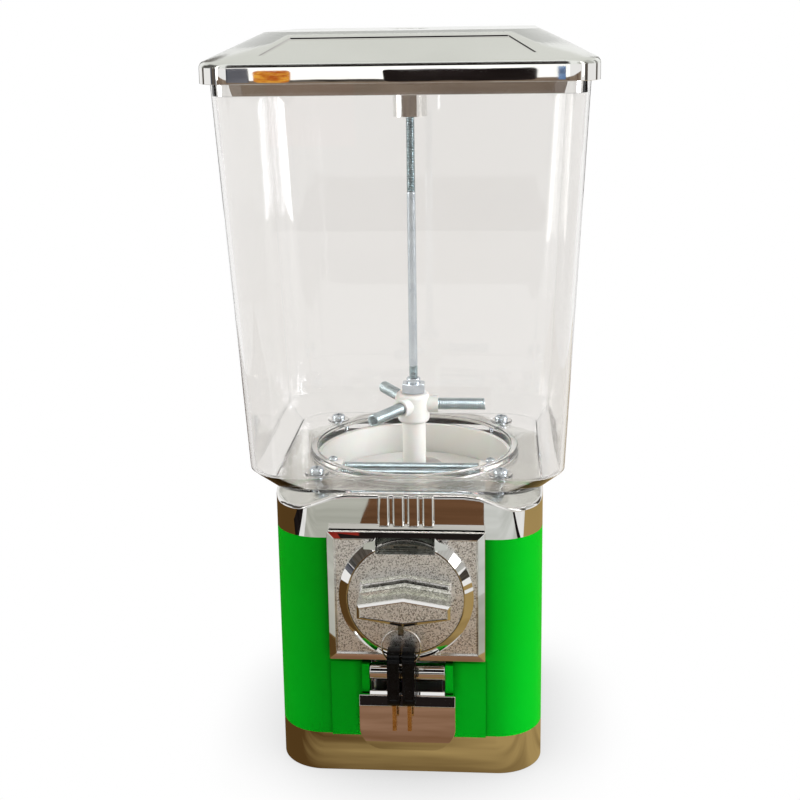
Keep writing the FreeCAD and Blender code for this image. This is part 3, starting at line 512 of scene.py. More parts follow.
def square_loop(half, corner, z, cuts=0):
    """A square ring of edges with round corners and cut sides."""
    deselect()
    bpy.ops.mesh.primitive_plane_add(size=2 * half, location=(0, 0, z))
    piece = named("loop")
    with Shaping(piece):
        bpy.ops.mesh.select_all(action="SELECT")
        bpy.ops.mesh.bevel(offset=corner, segments=CORNER_STEPS, affect="VERTICES")
        bpy.ops.mesh.select_all(action="SELECT")
        bpy.ops.mesh.delete(type="ONLY_FACE")
        if cuts:
            pick("EDGE", lambda edge: edge.calc_length() > half / 2)
            bpy.ops.mesh.subdivide(number_cuts=cuts)
    return piece


def round_loop(radius, z, cuts=0):
    """A round ring of edges with as many corners as a square one."""
    return ring_loop(radius, z, 4 * (CORNER_STEPS + 1 + cuts))


def ring_loop(radius, z, corners):
    deselect()
    bpy.ops.mesh.primitive_circle_add(vertices=corners, radius=radius, location=(0, 0, z),
                                      rotation=(0, 0, math.pi / corners))
    return named("loop")


def skin(name, loops):
    """Bridges rings of edges, each to the next and the last to the first, into one surface."""
    for number, loop in enumerate(loops):
        group = loop.vertex_groups.new(name="loop_%d" % number)
        group.add(range(len(loop.data.vertices)), 1.0, "REPLACE")
    piece = join(*loops)
    piece.name = name
    piece.data.name = name
    with Shaping(piece):
        for number in range(len(loops)):
            bpy.ops.mesh.select_all(action="DESELECT")
            for side in (number, (number + 1) % len(loops)):
                bpy.ops.object.vertex_group_set_active(group="loop_%d" % side)
                bpy.ops.object.vertex_group_select()
            bpy.ops.mesh.bridge_edge_loops()
        face_outwards()
    piece.vertex_groups.clear()
    return piece


def winding(name, length, outer, wire, turns, steps, sides):
    """A wound wire round +Z, from the floor of its own place."""
    deselect()
    bpy.ops.mesh.primitive_circle_add(vertices=sides, radius=wire / 2,
                                      location=(outer - wire / 2, 0, wire / 2),
                                      rotation=(math.pi / 2, 0, 0))
    piece = named(name)
    wind = piece.modifiers.new("wind", "SCREW")
    wind.axis = "Z"
    wind.screw_offset = (length - wire) / turns
    wind.iterations = turns
    wind.steps = steps
    wind.render_steps = steps
    wind.use_merge_vertices = False
    apply(piece, wind)
    with Shaping(piece):
        bpy.ops.mesh.select_all(action="SELECT")
        bpy.ops.mesh.fill_holes(sides=sides)
        face_outwards()
    return piece


# Finishes

class Finish:
    """A material under construction, with its textures on object coordinates."""

    def __init__(self, name):
        self.material = bpy.data.materials.new(name)
        self.material.use_nodes = True
        self.tree = self.material.node_tree
        self.shader = self.tree.nodes["Principled BSDF"]
        self.place = self.tree.nodes.new("ShaderNodeTexCoord").outputs["Object"]

    def link(self, source, target):
        self.tree.links.new(source, target)

    def noise(self, scale, detail):
        texture = add_node(self.tree, "ShaderNodeTexNoise", Scale=scale, Detail=detail)
        self.link(self.place, texture.inputs["Vector"])
        return texture.outputs["Fac"]

    def grains(self, scale):
        """A flat value of its own for each small grain."""
        texture = add_node(self.tree, "ShaderNodeTexVoronoi", Scale=scale)
        split = self.tree.nodes.new("ShaderNodeSeparateColor")
        self.link(self.place, texture.inputs["Vector"])
        self.link(texture.outputs["Color"], split.inputs["Color"])
        return split.outputs[0]

    def shade(self, source, *stops):
        """Colours the surface from a texture through stops of position and colour."""
        ramp = self.tree.nodes.new("ShaderNodeValToRGB")
        elements = ramp.color_ramp.elements
        while len(elements) < len(stops):
            elements.new(0.5)
        for element, (position, colour) in zip(elements, stops):
            element.position = position
            element.color = (*colour, 1)
        self.link(source, ramp.inputs["Fac"])
        self.link(ramp.outputs["Color"], self.shader.inputs["Base Color"])

    def mottle(self, scale, detail, dark, light):
        """Colours the surface in soft patches between two shades."""
        self.shade(self.noise(scale, detail), (0.3, dark), (0.7, light))

    def paint_corner_shade(self, reach):
        """Darkens the colour in the corners that less light gets into."""
        colour = self.shader.inputs["Base Color"]
        corners = add_node(self.tree, "ShaderNodeAmbientOcclusion", Distance=reach)
        self.link(colour.links[0].from_socket, corners.inputs["Color"])
        self.link(corners.outputs["Color"], colour)

    def wear(self, scale, detail, smooth, rough):
        """Varies the polish in soft patches between two roughnesses."""
        spread = add_node(self.tree, "ShaderNodeMapRange", From_Min=0.3, From_Max=0.7, To_Min=smooth,
                          To_Max=rough)
        self.link(self.noise(scale, detail), spread.inputs["Value"])
        self.link(spread.outputs["Result"], self.shader.inputs["Roughness"])

    def bumps(self, scale, detail, strength, depth):
        bump = add_node(self.tree, "ShaderNodeBump", Strength=strength, Distance=depth)
        self.link(self.noise(scale, detail), bump.inputs["Height"])
        self.link(bump.outputs["Normal"], self.shader.inputs["Normal"])

    def pass_lamps(self, tint):
        """Lets lamplight through to what stands behind a clear wall."""
        path = self.tree.nodes.new("ShaderNodeLightPath")
        open_way = add_node(self.tree, "ShaderNodeBsdfTransparent", Color=(*tint, 1))
        surface = mix_surfaces(self.tree, path.outputs["Is Shadow Ray"], self.shader.outputs[0],
                               open_way.outputs[0])
        self.link(surface, self.tree.nodes["Material Output"].inputs["Surface"])


def metal(name, mottle, wear, bumps):
    """A bare metal, from its patches of colour, its wear and its bumps."""
    finish = Finish(name)
    set_sockets(finish.shader, Metallic=1.0)
    finish.mottle(*mottle)
    finish.wear(*wear)
    finish.bumps(*bumps)
    return finish.material


def mirror_chrome():
    return metal("mirror_chrome", (18.0, 2.0, (0.76, 0.75, 0.73), (0.83, 0.82, 0.80)),
                 (55.0, 4.0, 0.008, 0.03), (38.0, 1.0, 0.04, 0.0008))


def satin_chrome():
    return metal("satin_chrome", (14.0, 3.0, (0.74, 0.75, 0.71), (0.80, 0.81, 0.77)),
                 (40.0, 2.0, 0.16, 0.24), (60.0, 2.0, 0.03, 0.0003))


def stippled_chrome():
    finish = Finish("stippled_chrome")
    set_sockets(finish.shader, Metallic=1.0)
    finish.shade(finish.grains(1900.0), (0.05, (0.28, 0.26, 0.24)), (0.42, (0.90, 0.88, 0.86)),
                 (0.9, (1.0, 0.99, 0.97)))
    finish.wear(700.0, 2.0, 0.32, 0.42)
    finish.bumps(1500.0, 1.0, 0.30, 0.0004)
    return finish.material


def frosted_chrome():
    finish = Finish("frosted_chrome")
    set_sockets(finish.shader, Metallic=1.0)
    finish.shade(finish.grains(1300.0), (0.05, (0.50, 0.50, 0.43)), (0.95, (0.95, 0.95, 0.88)))
    finish.wear(700.0, 2.0, 0.14, 0.22)
    finish.bumps(1500.0, 1.0, 0.08, 0.0003)
    return finish.material


def green_moulding():
    finish = Finish("green_moulding")
    set_sockets(finish.shader, Specular_IOR_Level=0.03)
    finish.mottle(9.0, 3.0, (0.0, 0.36, 0.006), (0.0, 0.42, 0.012))
    # Painted shade: ambient occlusion darkens the green within 6 mm of nearby surfaces, in corners
    # and under overhangs.
    finish.paint_corner_shade(6.0 * MM)
    finish.wear(120.0, 4.0, 0.36, 0.48)
    finish.bumps(900.0, 2.0, 0.05, 0.0003)
    return finish.material


def clear_moulding():
    finish = Finish("clear_moulding")
    set_sockets(finish.shader, Transmission_Weight=1.0, IOR=1.47)
    finish.mottle(6.0, 2.0, (0.895, 0.882, 0.866), (0.91, 0.90, 0.888))
    finish.wear(30.0, 2.0, 0.0, 0.015)
    finish.pass_lamps((0.93, 0.925, 0.915))
    return finish.material


def milky_moulding():
    finish = Finish("milky_moulding")
    set_sockets(finish.shader, Subsurface_Weight=0.2, Subsurface_Scale=0.004, Specular_IOR_Level=0.35)
    finish.mottle(25.0, 3.0, (0.62, 0.615, 0.57), (0.67, 0.665, 0.63))
    finish.wear(90.0, 3.0, 0.38, 0.52)
    finish.bumps(300.0, 2.0, 0.08, 0.0004)
    return finish.material


def black_moulding():
    finish = Finish("black_moulding")
    set_sockets(finish.shader, Specular_IOR_Level=0.13)
    finish.mottle(200.0, 3.0, (0.002, 0.002, 0.002), (0.005, 0.005, 0.005))
    finish.wear(300.0, 3.0, 0.08, 0.16)
    finish.bumps(400.0, 2.0, 0.05, 0.0002)
    return finish.material


def bright_zinc():
    return metal("bright_zinc", (120.0, 3.0, (0.52, 0.57, 0.61), (0.60, 0.65, 0.69)),
                 (400.0, 3.0, 0.17, 0.27), (900.0, 2.0, 0.03, 0.0001))


# Zinc for the rod's threads: rougher, and darker in colour as painted shade for the hollows between
# the turns.
def shaded_zinc():
    return metal("shaded_zinc", (200.0, 3.0, (0.20, 0.27, 0.28), (0.32, 0.41, 0.42)),
                 (400.0, 3.0, 0.24, 0.36), (900.0, 2.0, 0.05, 0.0001))


def dark_steel():
    return metal("dark_steel", (300.0, 3.0, (0.17, 0.18, 0.165), (0.30, 0.31, 0.285)),
                 (500.0, 3.0, 0.22, 0.36), (900.0, 2.0, 0.05, 0.0001))


def spring_wire():
    return metal("spring_wire", (150.0, 3.0, (0.42, 0.50, 0.52), (0.54, 0.62, 0.64)),
                 (500.0, 3.0, 0.16, 0.26), (1200.0, 2.0, 0.03, 0.0001))


def cut_brass():
    return metal("cut_brass", (500.0, 3.0, (0.55, 0.33, 0.09), (0.74, 0.49, 0.17)),
                 (700.0, 3.0, 0.2, 0.36), (1500.0, 2.0, 0.15, 0.0001))


FINISHES = {
    "polished_chrome": mirror_chrome(),
    "stippled_chrome": stippled_chrome(),
    "green_body": green_moulding(),
    "clear_globe": clear_moulding(),
    "white_plastic": milky_moulding(),
    "zinc_steel": bright_zinc(),
    "spring_steel": spring_wire(),
    "black_plastic": black_moulding(),
    "brass": cut_brass(),
}
SATIN = satin_chrome()
FROSTED = frosted_chrome()
SHADED_ZINC = shaded_zinc()
DARK_STEEL = dark_steel()


def finish_cad_nodes():
    slots = {part["node"]: part["material_slot"] for part in frame["record"]["subparts"]}
    for name, node in nodes.items():
        node.data.materials.clear()
        node.data.materials.append(FINISHES[slots[name]])


# Globe

GLOBE_WALL = 2.2 * MM
GLOBE_FLOOR = 3.0 * MM
GLOBE_FOOT_HALF = 72.0 * MM
GLOBE_FOOT_CORNER = 21.0 * MM
GLOBE_WAIST_HALF = 83.4 * MM
GLOBE_WAIST_CORNER = 22.0 * MM
GLOBE_WAIST_RISE = 12.3 * MM
GLOBE_RIM_CORNER = 19.0 * MM
GLOBE_SEAT_GAP = 0.15 * MM
THROAT_RADIUS = 55.5 * MM
THROAT_LIP_WIDTH = 4.0 * MM
THROAT_LIP_HEIGHT = 6.0 * MM
GLOBE_BOSS_RADIUS = 6.5 * MM
BOSS_SEAT_GAP = 0.05 * MM
GLOBE_BOSS_HEIGHT = 4.6 * MM
GLOBE_BOSS_EDGE = 0.5 * MM
GLOBE_EDGE = 0.7 * MM


def make_globe():
    low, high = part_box("globe")
    foot_z = low.z + GLOBE_SEAT_GAP
    floor_z = low.z + GLOBE_FLOOR
    waist_z = low.z + GLOBE_WAIST_RISE
    lip_z = low.z + THROAT_LIP_HEIGHT
    lip_radius = THROAT_RADIUS + THROAT_LIP_WIDTH
    wall = GLOBE_WALL
    squares = [(high.x, GLOBE_RIM_CORNER, high.z),
               (GLOBE_WAIST_HALF, GLOBE_WAIST_CORNER, waist_z),
               (GLOBE_FOOT_HALF, GLOBE_FOOT_CORNER, foot_z),
               (GLOBE_FOOT_HALF, GLOBE_FOOT_CORNER, floor_z),
               (GLOBE_WAIST_HALF - wall, GLOBE_WAIST_CORNER - wall, waist_z),
               (high.x - wall, GLOBE_RIM_CORNER - wall, high.z - LOOP_STEP)]
    rounds = [(THROAT_RADIUS, foot_z + LOOP_STEP),
              (THROAT_RADIUS, lip_z),
              (lip_radius, lip_z - LOOP_STEP),
              (lip_radius, floor_z + LOOP_STEP)]
    loops = [square_loop(*size) for size in squares[:3]]
    loops += [round_loop(*size) for size in rounds]
    loops += [square_loop(*size) for size in squares[3:]]
    globe = skin("globe_bin", loops)
    soften(globe, GLOBE_EDGE)
    settle(globe, "casing", "clear_globe", "globe")
    for number in (1, 2, 3, 4):
        screw = centre("globe_screw_%d" % number)
        boss = round_bar("globe_boss_%d" % number, GLOBE_BOSS_RADIUS,
                         (screw.x, screw.y, floor_z + BOSS_SEAT_GAP),
                         (screw.x, screw.y, low.z + GLOBE_BOSS_HEIGHT), 40)
        soften(boss, GLOBE_BOSS_EDGE)
        settle(boss, "casing", "clear_globe")


# Springs and rod

STIR_WIRE = 1.26 * MM
STIR_PITCH = 1.30 * MM
GUARD_WIRE = 0.96 * MM
GUARD_PITCH = 1.0 * MM
THREAD_WIRE = 0.8 * MM
THREAD_PITCH = 0.9 * MM
ROD_CORE = 2.15 * MM
ROD_STEP = 0.1 * MM
ROD_EDGE = 0.35 * MM
UPPER_THREAD = 42.0 * MM
LOWER_THREAD = 7.0 * MM


def make_stir_springs():
    low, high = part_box("agitator_spring_1")
    outer = (high.z - low.z) / 2
    turns = round((high.x - low.x - STIR_WIRE) / STIR_PITCH)
    first = winding("stir_spring_1", high.x - low.x, outer, STIR_WIRE, turns, steps=24, sides=8)
    turn(first, 90, "Y")
    shift(first, low.x, 0, (low.z + high.z) / 2)
    even(first, WIRE_ANGLE)
    springs = [first, twin(first, "stir_spring_2"), twin(first, "stir_spring_3")]
    for number, spring in enumerate(springs):
        turn(spring, 360 / len(springs) * number)
        settle(spring, "wheel", "spring_steel", "agitator_spring_%d" % (number + 1))


def make_guard_springs():
    for name in ("guard_spring_rear", "guard_spring_front"):
        low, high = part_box(name)
        outer = (high.z - low.z) / 2
        turns = round((high.x - low.x - GUARD_WIRE) / GUARD_PITCH)
        spring = winding(name.replace("spring", "coil"), high.x - low.x, outer, GUARD_WIRE, turns,
                         steps=18, sides=8)
        turn(spring, 90, "Y")
        shift(spring, low.x, (low.y + high.y) / 2, (low.z + high.z) / 2)
        even(spring, WIRE_ANGLE)
        settle(spring, "casing", "spring_steel", name)


def thread(name, foot, top, radius):
    turns = round((top - foot) / THREAD_PITCH)
    ridge = winding(name, top - foot, radius, THREAD_WIRE, turns, steps=20, sides=4)
    shift(ridge, 0, 0, foot)
    return ridge


def make_rod():
    low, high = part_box("rod")
    radius = high.x
    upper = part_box("lock_barrel")[0].z - UPPER_THREAD
    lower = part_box("hub_nut")[1].z + LOWER_THREAD
    core = round_bar("rod_shank", ROD_CORE, (0, 0, low.z), (0, 0, high.z), 32)
    plain = round_bar("plain", radius - ROD_STEP, (0, 0, lower), (0, 0, upper), 32)
    with Shaping(plain):
        pick("EDGE", lambda edge: run(edge).z < 0.1)
        round_edges(ROD_EDGE, 2)
    rod = join(core, plain)
    even(rod)
    settle(rod, "casing", "zinc_steel", "rod")
    ridges = join(thread("rod_thread", upper, high.z, radius),
                  thread("lower", low.z, lower, radius))
    even(ridges)
    # The threads take the darker zinc, painted shade for the hollows between their turns.
    settle(ridges, "casing", "zinc_steel", finish=SHADED_ZINC)


# Lid

LID_ROOF = 14.0 * MM
LID_SKIRT = 10.0 * MM
LID_CORNER = 17.5 * MM
LID_WALL = 2.5 * MM
LID_TOP_HALF = 68.75 * MM
LID_GROOVE = 3.4 * MM
LID_PLUG_STEP = 5.0 * MM
LID_PLUG_DROP = 6.0 * MM
LID_PANEL_MARGIN = 6.0 * MM
LID_PANEL_DEPTH = 0.8 * MM
LID_PANEL_WALL = 0.5 * MM
LID_BOSS_RADIUS = 11.4 * MM
LID_BOSS_BORE = 9.6 * MM
LID_BOSS_DROP = 8.0 * MM
LID_BOSS_SUNK = 0.3 * MM
LID_BOSS_LAP = 0.5 * MM
LID_BOSS_EDGE = 0.5 * MM
LID_BORE_DEPTH = 20.0 * MM
LID_SLOPE_AREA = 1800 * MM * MM
LID_EAVE_ROUND = 2.2 * MM
LID_EDGE = 0.35 * MM
EAVE_TOP = 1.5 * MM
EAVE_FOOT = 3.0 * MM


def make_lid():
    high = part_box("lid")[1]
    half = high.x
    eave = high.z - LID_ROOF
    foot = eave - LID_SKIRT
    cover = cube("lid_cover", (-half, -half, foot), (half, half, eave))
    share = LID_TOP_HALF / half
    with Shaping(cover):
        pick("EDGE", lambda edge: run(edge).z > 0.9)
        round_edges(LID_CORNER, 8)
        pick("FACE", lambda face: face.normal.z > 0.9)
        push(0, 0, LID_ROOF)
        bpy.ops.transform.resize(value=(share, share, 1), center_override=(0, 0, high.z))
        pick("FACE", lambda face: face.normal.z < -0.9)
        inset(LID_WALL)
        push(0, 0, LID_GROOVE)
        inset(LID_PLUG_STEP)
        push(0, 0, -LID_GROOVE - LID_PLUG_DROP)
        inset(LID_WALL)
        push(0, 0, LID_PLUG_DROP + LID_SKIRT - LID_WALL)
        push(0, 0, LID_ROOF)
        narrow = (LID_TOP_HALF - LID_WALL) / (half - 2 * LID_WALL - LID_PLUG_STEP)
        bpy.ops.transform.resize(value=(narrow, narrow, 1),
                                 center_override=(0, 0, high.z - LID_WALL))
        pick("EDGE", lambda edge: abs(middle(edge).z - eave) < TOUCHING)
        round_edges(LID_EAVE_ROUND, 5)
        pick("FACE", lambda face: 0.3 < face.normal.z < 0.995 and face.calc_area() > LID_SLOPE_AREA)
        bpy.ops.mesh.inset(thickness=LID_PANEL_MARGIN, use_individual=True)
        bpy.ops.mesh.inset(thickness=LID_PANEL_WALL, depth=-LID_PANEL_DEPTH, use_individual=True)
    bore = round_bar("bore", LID_BOSS_RADIUS - LID_BOSS_LAP, (0, 0, eave - LID_BORE_DEPTH),
                     (0, 0, high.z + OVERRUN), 48)
    carve(cover, bore)
    soften(cover, LID_EDGE, angle=28)
    boss = round_bar("boss", LID_BOSS_RADIUS, (0, 0, foot - LID_BOSS_DROP),
                     (0, 0, high.z - LID_BOSS_SUNK), 48)
    with Shaping(boss):
        pick("FACE", lambda face: abs(face.normal.z) > 0.9)
        inset(LID_BOSS_RADIUS - LID_BOSS_BORE)
        bpy.ops.mesh.bridge_edge_loops()
    soften(boss, LID_BOSS_EDGE)
    join(cover, boss)
    settle(cover, "lid", "polished_chrome", "lid")
    paint(cover, SATIN, lambda face: on_roof(face, eave))


def on_roof(face, eave):
    """True for the roof and its rounded eave, but not for the small walls of the sunk panels."""
    if face.center.z > eave + EAVE_TOP:
        return face.normal.z > 0.8
    return face.center.z > eave - EAVE_FOOT and face.normal.z > 0.12


# Collar

COLLAR_HALF = 72.6 * MM
COLLAR_CORNER = 25.0 * MM
COLLAR_EDGE = 2.4 * MM
COLLAR_EDGE_STEPS = 4
COLLAR_DIP = 7.6 * MM
COLLAR_DIP_CORE = 9.0 * MM
COLLAR_DIP_REACH = 27.0 * MM
COLLAR_STILL = 12.0 * MM
COLLAR_SIDE_CUTS = 10
DECK_HALF = 64.6 * MM
DECK_CORNER = 19.0 * MM
DECK_HOLE = 59.5 * MM
DECK_SEAT = 2.5 * MM
CUP_HOLE = 56.8 * MM
RIB_COUNT = 4
RIB_PITCH = 7.9 * MM
RIB_WIDTH = 6.3 * MM
RIB_HEIGHT = 18.0 * MM
RIB_RELIEF = 1.6 * MM
RIB_TOP_GAP = 0.5 * MM
RIB_EDGE = 1.1 * MM


def make_collar():
    low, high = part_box("collar")
    squares = [(COLLAR_HALF, COLLAR_CORNER, low.z)]
    for step in range(COLLAR_EDGE_STEPS + 1):
        angle = math.radians(90 / COLLAR_EDGE_STEPS * step)
        narrowing = COLLAR_EDGE * (1 - math.cos(angle))
        drop = COLLAR_EDGE * (1 - math.sin(angle))
        squares.append((COLLAR_HALF - narrowing, COLLAR_CORNER - narrowing, high.z - drop))
    squares.append((DECK_HALF, DECK_CORNER, high.z - LOOP_STEP))
    rounds = [(DECK_HOLE, high.z - 2 * LOOP_STEP), (DECK_HOLE, high.z - DECK_SEAT),
              (CUP_HOLE, high.z - DECK_SEAT - LOOP_STEP), (CUP_HOLE, low.z + LOOP_STEP)]
    loops = [square_loop(*size, COLLAR_SIDE_CUTS) for size in squares]
    loops += [round_loop(*size, COLLAR_SIDE_CUTS) for size in rounds]
    ring = skin("collar_ring", loops)
    reach = COLLAR_HALF - COLLAR_CORNER + COLLAR_CORNER * math.sqrt(0.5)
    with Shaping(ring):
        pick("VERT", lambda point: point.co.z < high.z - COLLAR_STILL)
        bpy.ops.mesh.hide()
        for x, y in ((1, 1), (1, -1), (-1, 1), (-1, -1)):
            peak = Vector((x * reach, y * reach, high.z - COLLAR_EDGE))
            pick("VERT", lambda point: (point.co - peak).length < COLLAR_DIP_CORE)
            bpy.ops.transform.translate(value=(0, 0, -COLLAR_DIP), use_proportional_edit=True,
                                        proportional_edit_falloff="SMOOTH",
                                        proportional_size=COLLAR_DIP_REACH)
        bpy.ops.mesh.reveal()
    even(ring)
    ribs = []
    for number in range(RIB_COUNT):
        x = (number - (RIB_COUNT - 1) / 2) * RIB_PITCH
        rib = cube("rib", (x - RIB_WIDTH / 2, -COLLAR_HALF - RIB_RELIEF, high.z - RIB_HEIGHT),
                   (x + RIB_WIDTH / 2, -COLLAR_HALF + RIB_RELIEF, high.z - RIB_TOP_GAP))
        soften(rib, RIB_EDGE, 4)
        ribs.append(rib)
    join(ring, *ribs)
    settle(ring, "casing", "polished_chrome", "collar")
    paint(ring, SATIN, lambda face: face.normal.z > 0.9)


# Coin plate

FRAME_SLOPE_WIDTH = 3.9 * MM
FRAME_SLOPE_DEPTH = 0.86 * MM
FRAME_STEP = 1.2 * MM
FRAME_STEP_WALL = 0.45 * MM
FRAME_EDGE = 0.3 * MM
FRAME_RIDGE = 3.6 * MM
FRAME_BACK_DROP = 3.2 * MM
BEZEL_WIDTH = 4.9 * MM
BEZEL_FALL = 3.5 * MM
BEZEL_LAND = 0.5 * MM
BEZEL_LAP = 0.5 * MM
BEZEL_CLEAR = 0.3 * MM
BEZEL_EDGE = 0.3 * MM
BEZEL_SIDES = 128
WINDOW_HALF = 15.6 * MM
WINDOW_END = 6.5 * MM
WINDOW_END_FALL = 2.6 * MM
WINDOW_END_DROP = 3.0 * MM
WINDOW_TOP_BAR = 3.0 * MM
WINDOW_DEPTH = 6.5 * MM
WINDOW_RISE = 25.2 * MM
WEB_DEPTH = 2.0 * MM


def make_coin_plate():
    low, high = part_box("coin_plate")
    front = -COLLAR_HALF
    bezel_y = low.y
    knob_z = knob_axis().z
    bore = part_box("knob")[1].x + BEZEL_CLEAR
    ridge_y = bezel_y + FRAME_RIDGE
    plate = cube("plate_frame", (low.x, ridge_y + FRAME_SLOPE_DEPTH, low.z),
                 (high.x, front, high.z))
    with Shaping(plate):
        pick("FACE", lambda face: face.normal.y < -0.9)
        inset(FRAME_SLOPE_WIDTH, FRAME_SLOPE_DEPTH)
        inset(FRAME_STEP_WALL, -FRAME_STEP)
        pick("VERT", lambda point: point.co.y > front - TOUCHING and point.co.z > high.z - TOUCHING)
        move(0, 0, -FRAME_BACK_DROP)
    soften(plate, FRAME_EDGE, angle=8)
    field_y = ridge_y + FRAME_STEP
    hole = round_bar("hole", bore + BEZEL_LAP, (0, bezel_y - OVERRUN, knob_z),
                     (0, front - WEB_DEPTH, knob_z), 96)
    carve(plate, hole)
    window_foot = knob_z + WINDOW_RISE
    window_top = high.z - WINDOW_TOP_BAR
    window = cube("window", (-WINDOW_HALF, bezel_y - OVERRUN, window_foot),
                  (WINDOW_HALF, bezel_y + WINDOW_DEPTH, window_top))
    carve(plate, window)
    even(plate)
    settle(plate, "casing", "polished_chrome", "coin_plate")
    paint(plate, FINISHES["stippled_chrome"],
          lambda face: face.normal.y < -0.99 and abs(face.center.y - field_y) < TOUCHING)
    # Painted shade: the back wall of the deep coin window is dark steel, so that the recess looks
    # dark.
    paint(plate, DARK_STEEL,
          lambda face: face.normal.y < -0.99 and face.center.y > bezel_y + WINDOW_DEPTH - TOUCHING
          and face.center.z > window_foot)
    make_bezel(bore, bezel_y, field_y, window_foot, window_top, high.z)


def make_bezel(bore, bezel_y, field_y, window_foot, window_top, plate_top):
    """The ring round the knob, with the two ends of the coin window."""
    front = -COLLAR_HALF
    knob_z = knob_axis().z
    profile = [(bore, -front),
               (bore, -bezel_y),
               (bore + BEZEL_LAND, -bezel_y + LOOP_STEP),
               (bore + BEZEL_WIDTH, -bezel_y - BEZEL_FALL),
               (bore + BEZEL_WIDTH, -front - LOOP_STEP)]
    loops = [ring_loop(radius, z, BEZEL_SIDES) for radius, z in profile]
    bezel = skin("bezel", loops)
    turn(bezel, 90, "X")
    shift(bezel, 0, 0, knob_z)
    for side in (-1, 1):
        near_x = side * WINDOW_HALF
        far_x = side * (WINDOW_HALF + WINDOW_END)
        end = cube("end", (min(near_x, far_x), bezel_y, window_foot),
                   (max(near_x, far_x), field_y, window_top))
        with Shaping(end):
            pick("VERT", lambda point: abs(point.co.x) > WINDOW_HALF + NEARBY
                 and point.co.y < field_y - NEARBY)
            move(0, WINDOW_END_FALL, 0)
            pick("VERT", lambda point: abs(point.co.x) > WINDOW_HALF + NEARBY
                 and point.co.z > window_top - NEARBY)
            move(0, 0, -WINDOW_END_DROP)
        carve(end, round_bar("hole", bore, (0, bezel_y - OVERRUN, knob_z), (0, front, knob_z), 96))
        carve(bezel, end, "UNION")
    opening = cube("window", (-WINDOW_HALF, bezel_y - OVERRUN, window_foot),
                   (WINDOW_HALF, front + OVERRUN, plate_top))
    carve(bezel, opening)
    soften(bezel, BEZEL_EDGE, 2, 25)
    settle(bezel, "casing", "polished_chrome")


# Knob

DISC_BACK = 8.1 * MM
DISC_EDGE = 0.6 * MM
GRIP_DEPTH = 18.0 * MM
GRIP_HALF = 24.3 * MM
GRIP_END = 3.9 * MM
GRIP_RISE = 8.0 * MM
GRIP_RIM = 1.5 * MM
GRIP_RIM_DROP = 1.5 * MM
GRIP_FIELD_RISE = 0.8 * MM
GRIP_SUNK = 0.35 * MM
GRIP_SUNK_WALL = 0.3 * MM
GRIP_EDGE = 0.2 * MM
GRIP_ROOT_STEPS = ((1.7 * MM, 3.6 * MM), (0.6 * MM, 2.6 * MM))
EYE_X = -2.0 * MM
EYE_HALF = 1.5 * MM
EYE_RADIUS = 3.0 * MM
EYE_HOLE = 1.6 * MM
EYE_DROP = 13.6 * MM
EYE_STEM_SUNK = 1.0 * MM
EYE_EDGE = 0.3 * MM


def knob_axis():
    """The middle of the knob's disc."""
    low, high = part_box("knob_shaft")
    return Vector((0, low.y, (low.z + high.z) / 2))


def make_knob():
    low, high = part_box("knob")
    axis = knob_axis()
    grip_y = low.y
    face_y = grip_y + GRIP_DEPTH
    disc = round_bar("knob_face", high.x, (0, face_y, axis.z), (0, face_y + DISC_BACK, axis.z), 128)
    notch_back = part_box("coin_carrier")[1].y
    notch = cube("notch", (-WINDOW_HALF, face_y - OVERRUN, axis.z + WINDOW_RISE),
                 (WINDOW_HALF, notch_back, axis.z + high.x + OVERRUN))
    carve(disc, notch)
    soften(disc, DISC_EDGE)
    settle(disc, "knob", "polished_chrome", "knob")
    paint(disc, FINISHES["stippled_chrome"],
          lambda face: face.normal.y < -0.95 and abs(face.center.y - face_y) < TOUCHING)
    make_grip(axis, grip_y, face_y)
    make_ring_eye(axis)


def make_grip(axis, grip_y, face_y):
    root_y = face_y - sum(depth for depth, rise in GRIP_ROOT_STEPS)
    front_y = grip_y + GRIP_RIM_DROP
    grip = cube("knob_grip", (-GRIP_HALF, front_y, axis.z - GRIP_END),
                (GRIP_HALF, root_y, axis.z + GRIP_END))
    with Shaping(grip):
        pick("EDGE", lambda edge: run(edge).x > 0.9)
        bpy.ops.mesh.subdivide(number_cuts=1)
        pick("VERT", lambda point: abs(point.co.x) < NEARBY and point.co.z > axis.z)
        move(0, 0, GRIP_RISE - GRIP_END)
        pick("VERT", lambda point: abs(point.co.x) < NEARBY and point.co.z < axis.z)
        move(0, 0, GRIP_END - GRIP_RISE)
        back = root_y
        for depth, rise in GRIP_ROOT_STEPS:
            pick("FACE", lambda face: face.normal.y > 0.99)
            push(0, depth, 0)
            pick("VERT", lambda point: point.co.y > back + TOUCHING and point.co.z > axis.z)
            move(0, 0, rise)
            back += depth
        pick("FACE", lambda face: face.normal.y < -0.9)
        inset(GRIP_RIM, GRIP_RIM_DROP)
        inset(GRIP_SUNK_WALL, -GRIP_SUNK)
        pick("VERT", lambda point: point.co.y < front_y - TOUCHING and abs(point.co.x) < NEARBY
             and point.co.z < axis.z)
        move(0, 0, GRIP_FIELD_RISE)
        face_outwards()
    soften(grip, GRIP_EDGE, 2, 30)
    settle(grip, "knob", "polished_chrome")
    field_y = grip_y + GRIP_SUNK
    paint(grip, FINISHES["stippled_chrome"],
          lambda face: face.normal.y < -0.99 and abs(face.center.y - field_y) < TOUCHING
          or face.center.y > root_y and 0.1 < face.normal.z < 0.3)
    paint(grip, FROSTED, lambda face: face.normal.z > 0.3 and face.center.y > front_y)


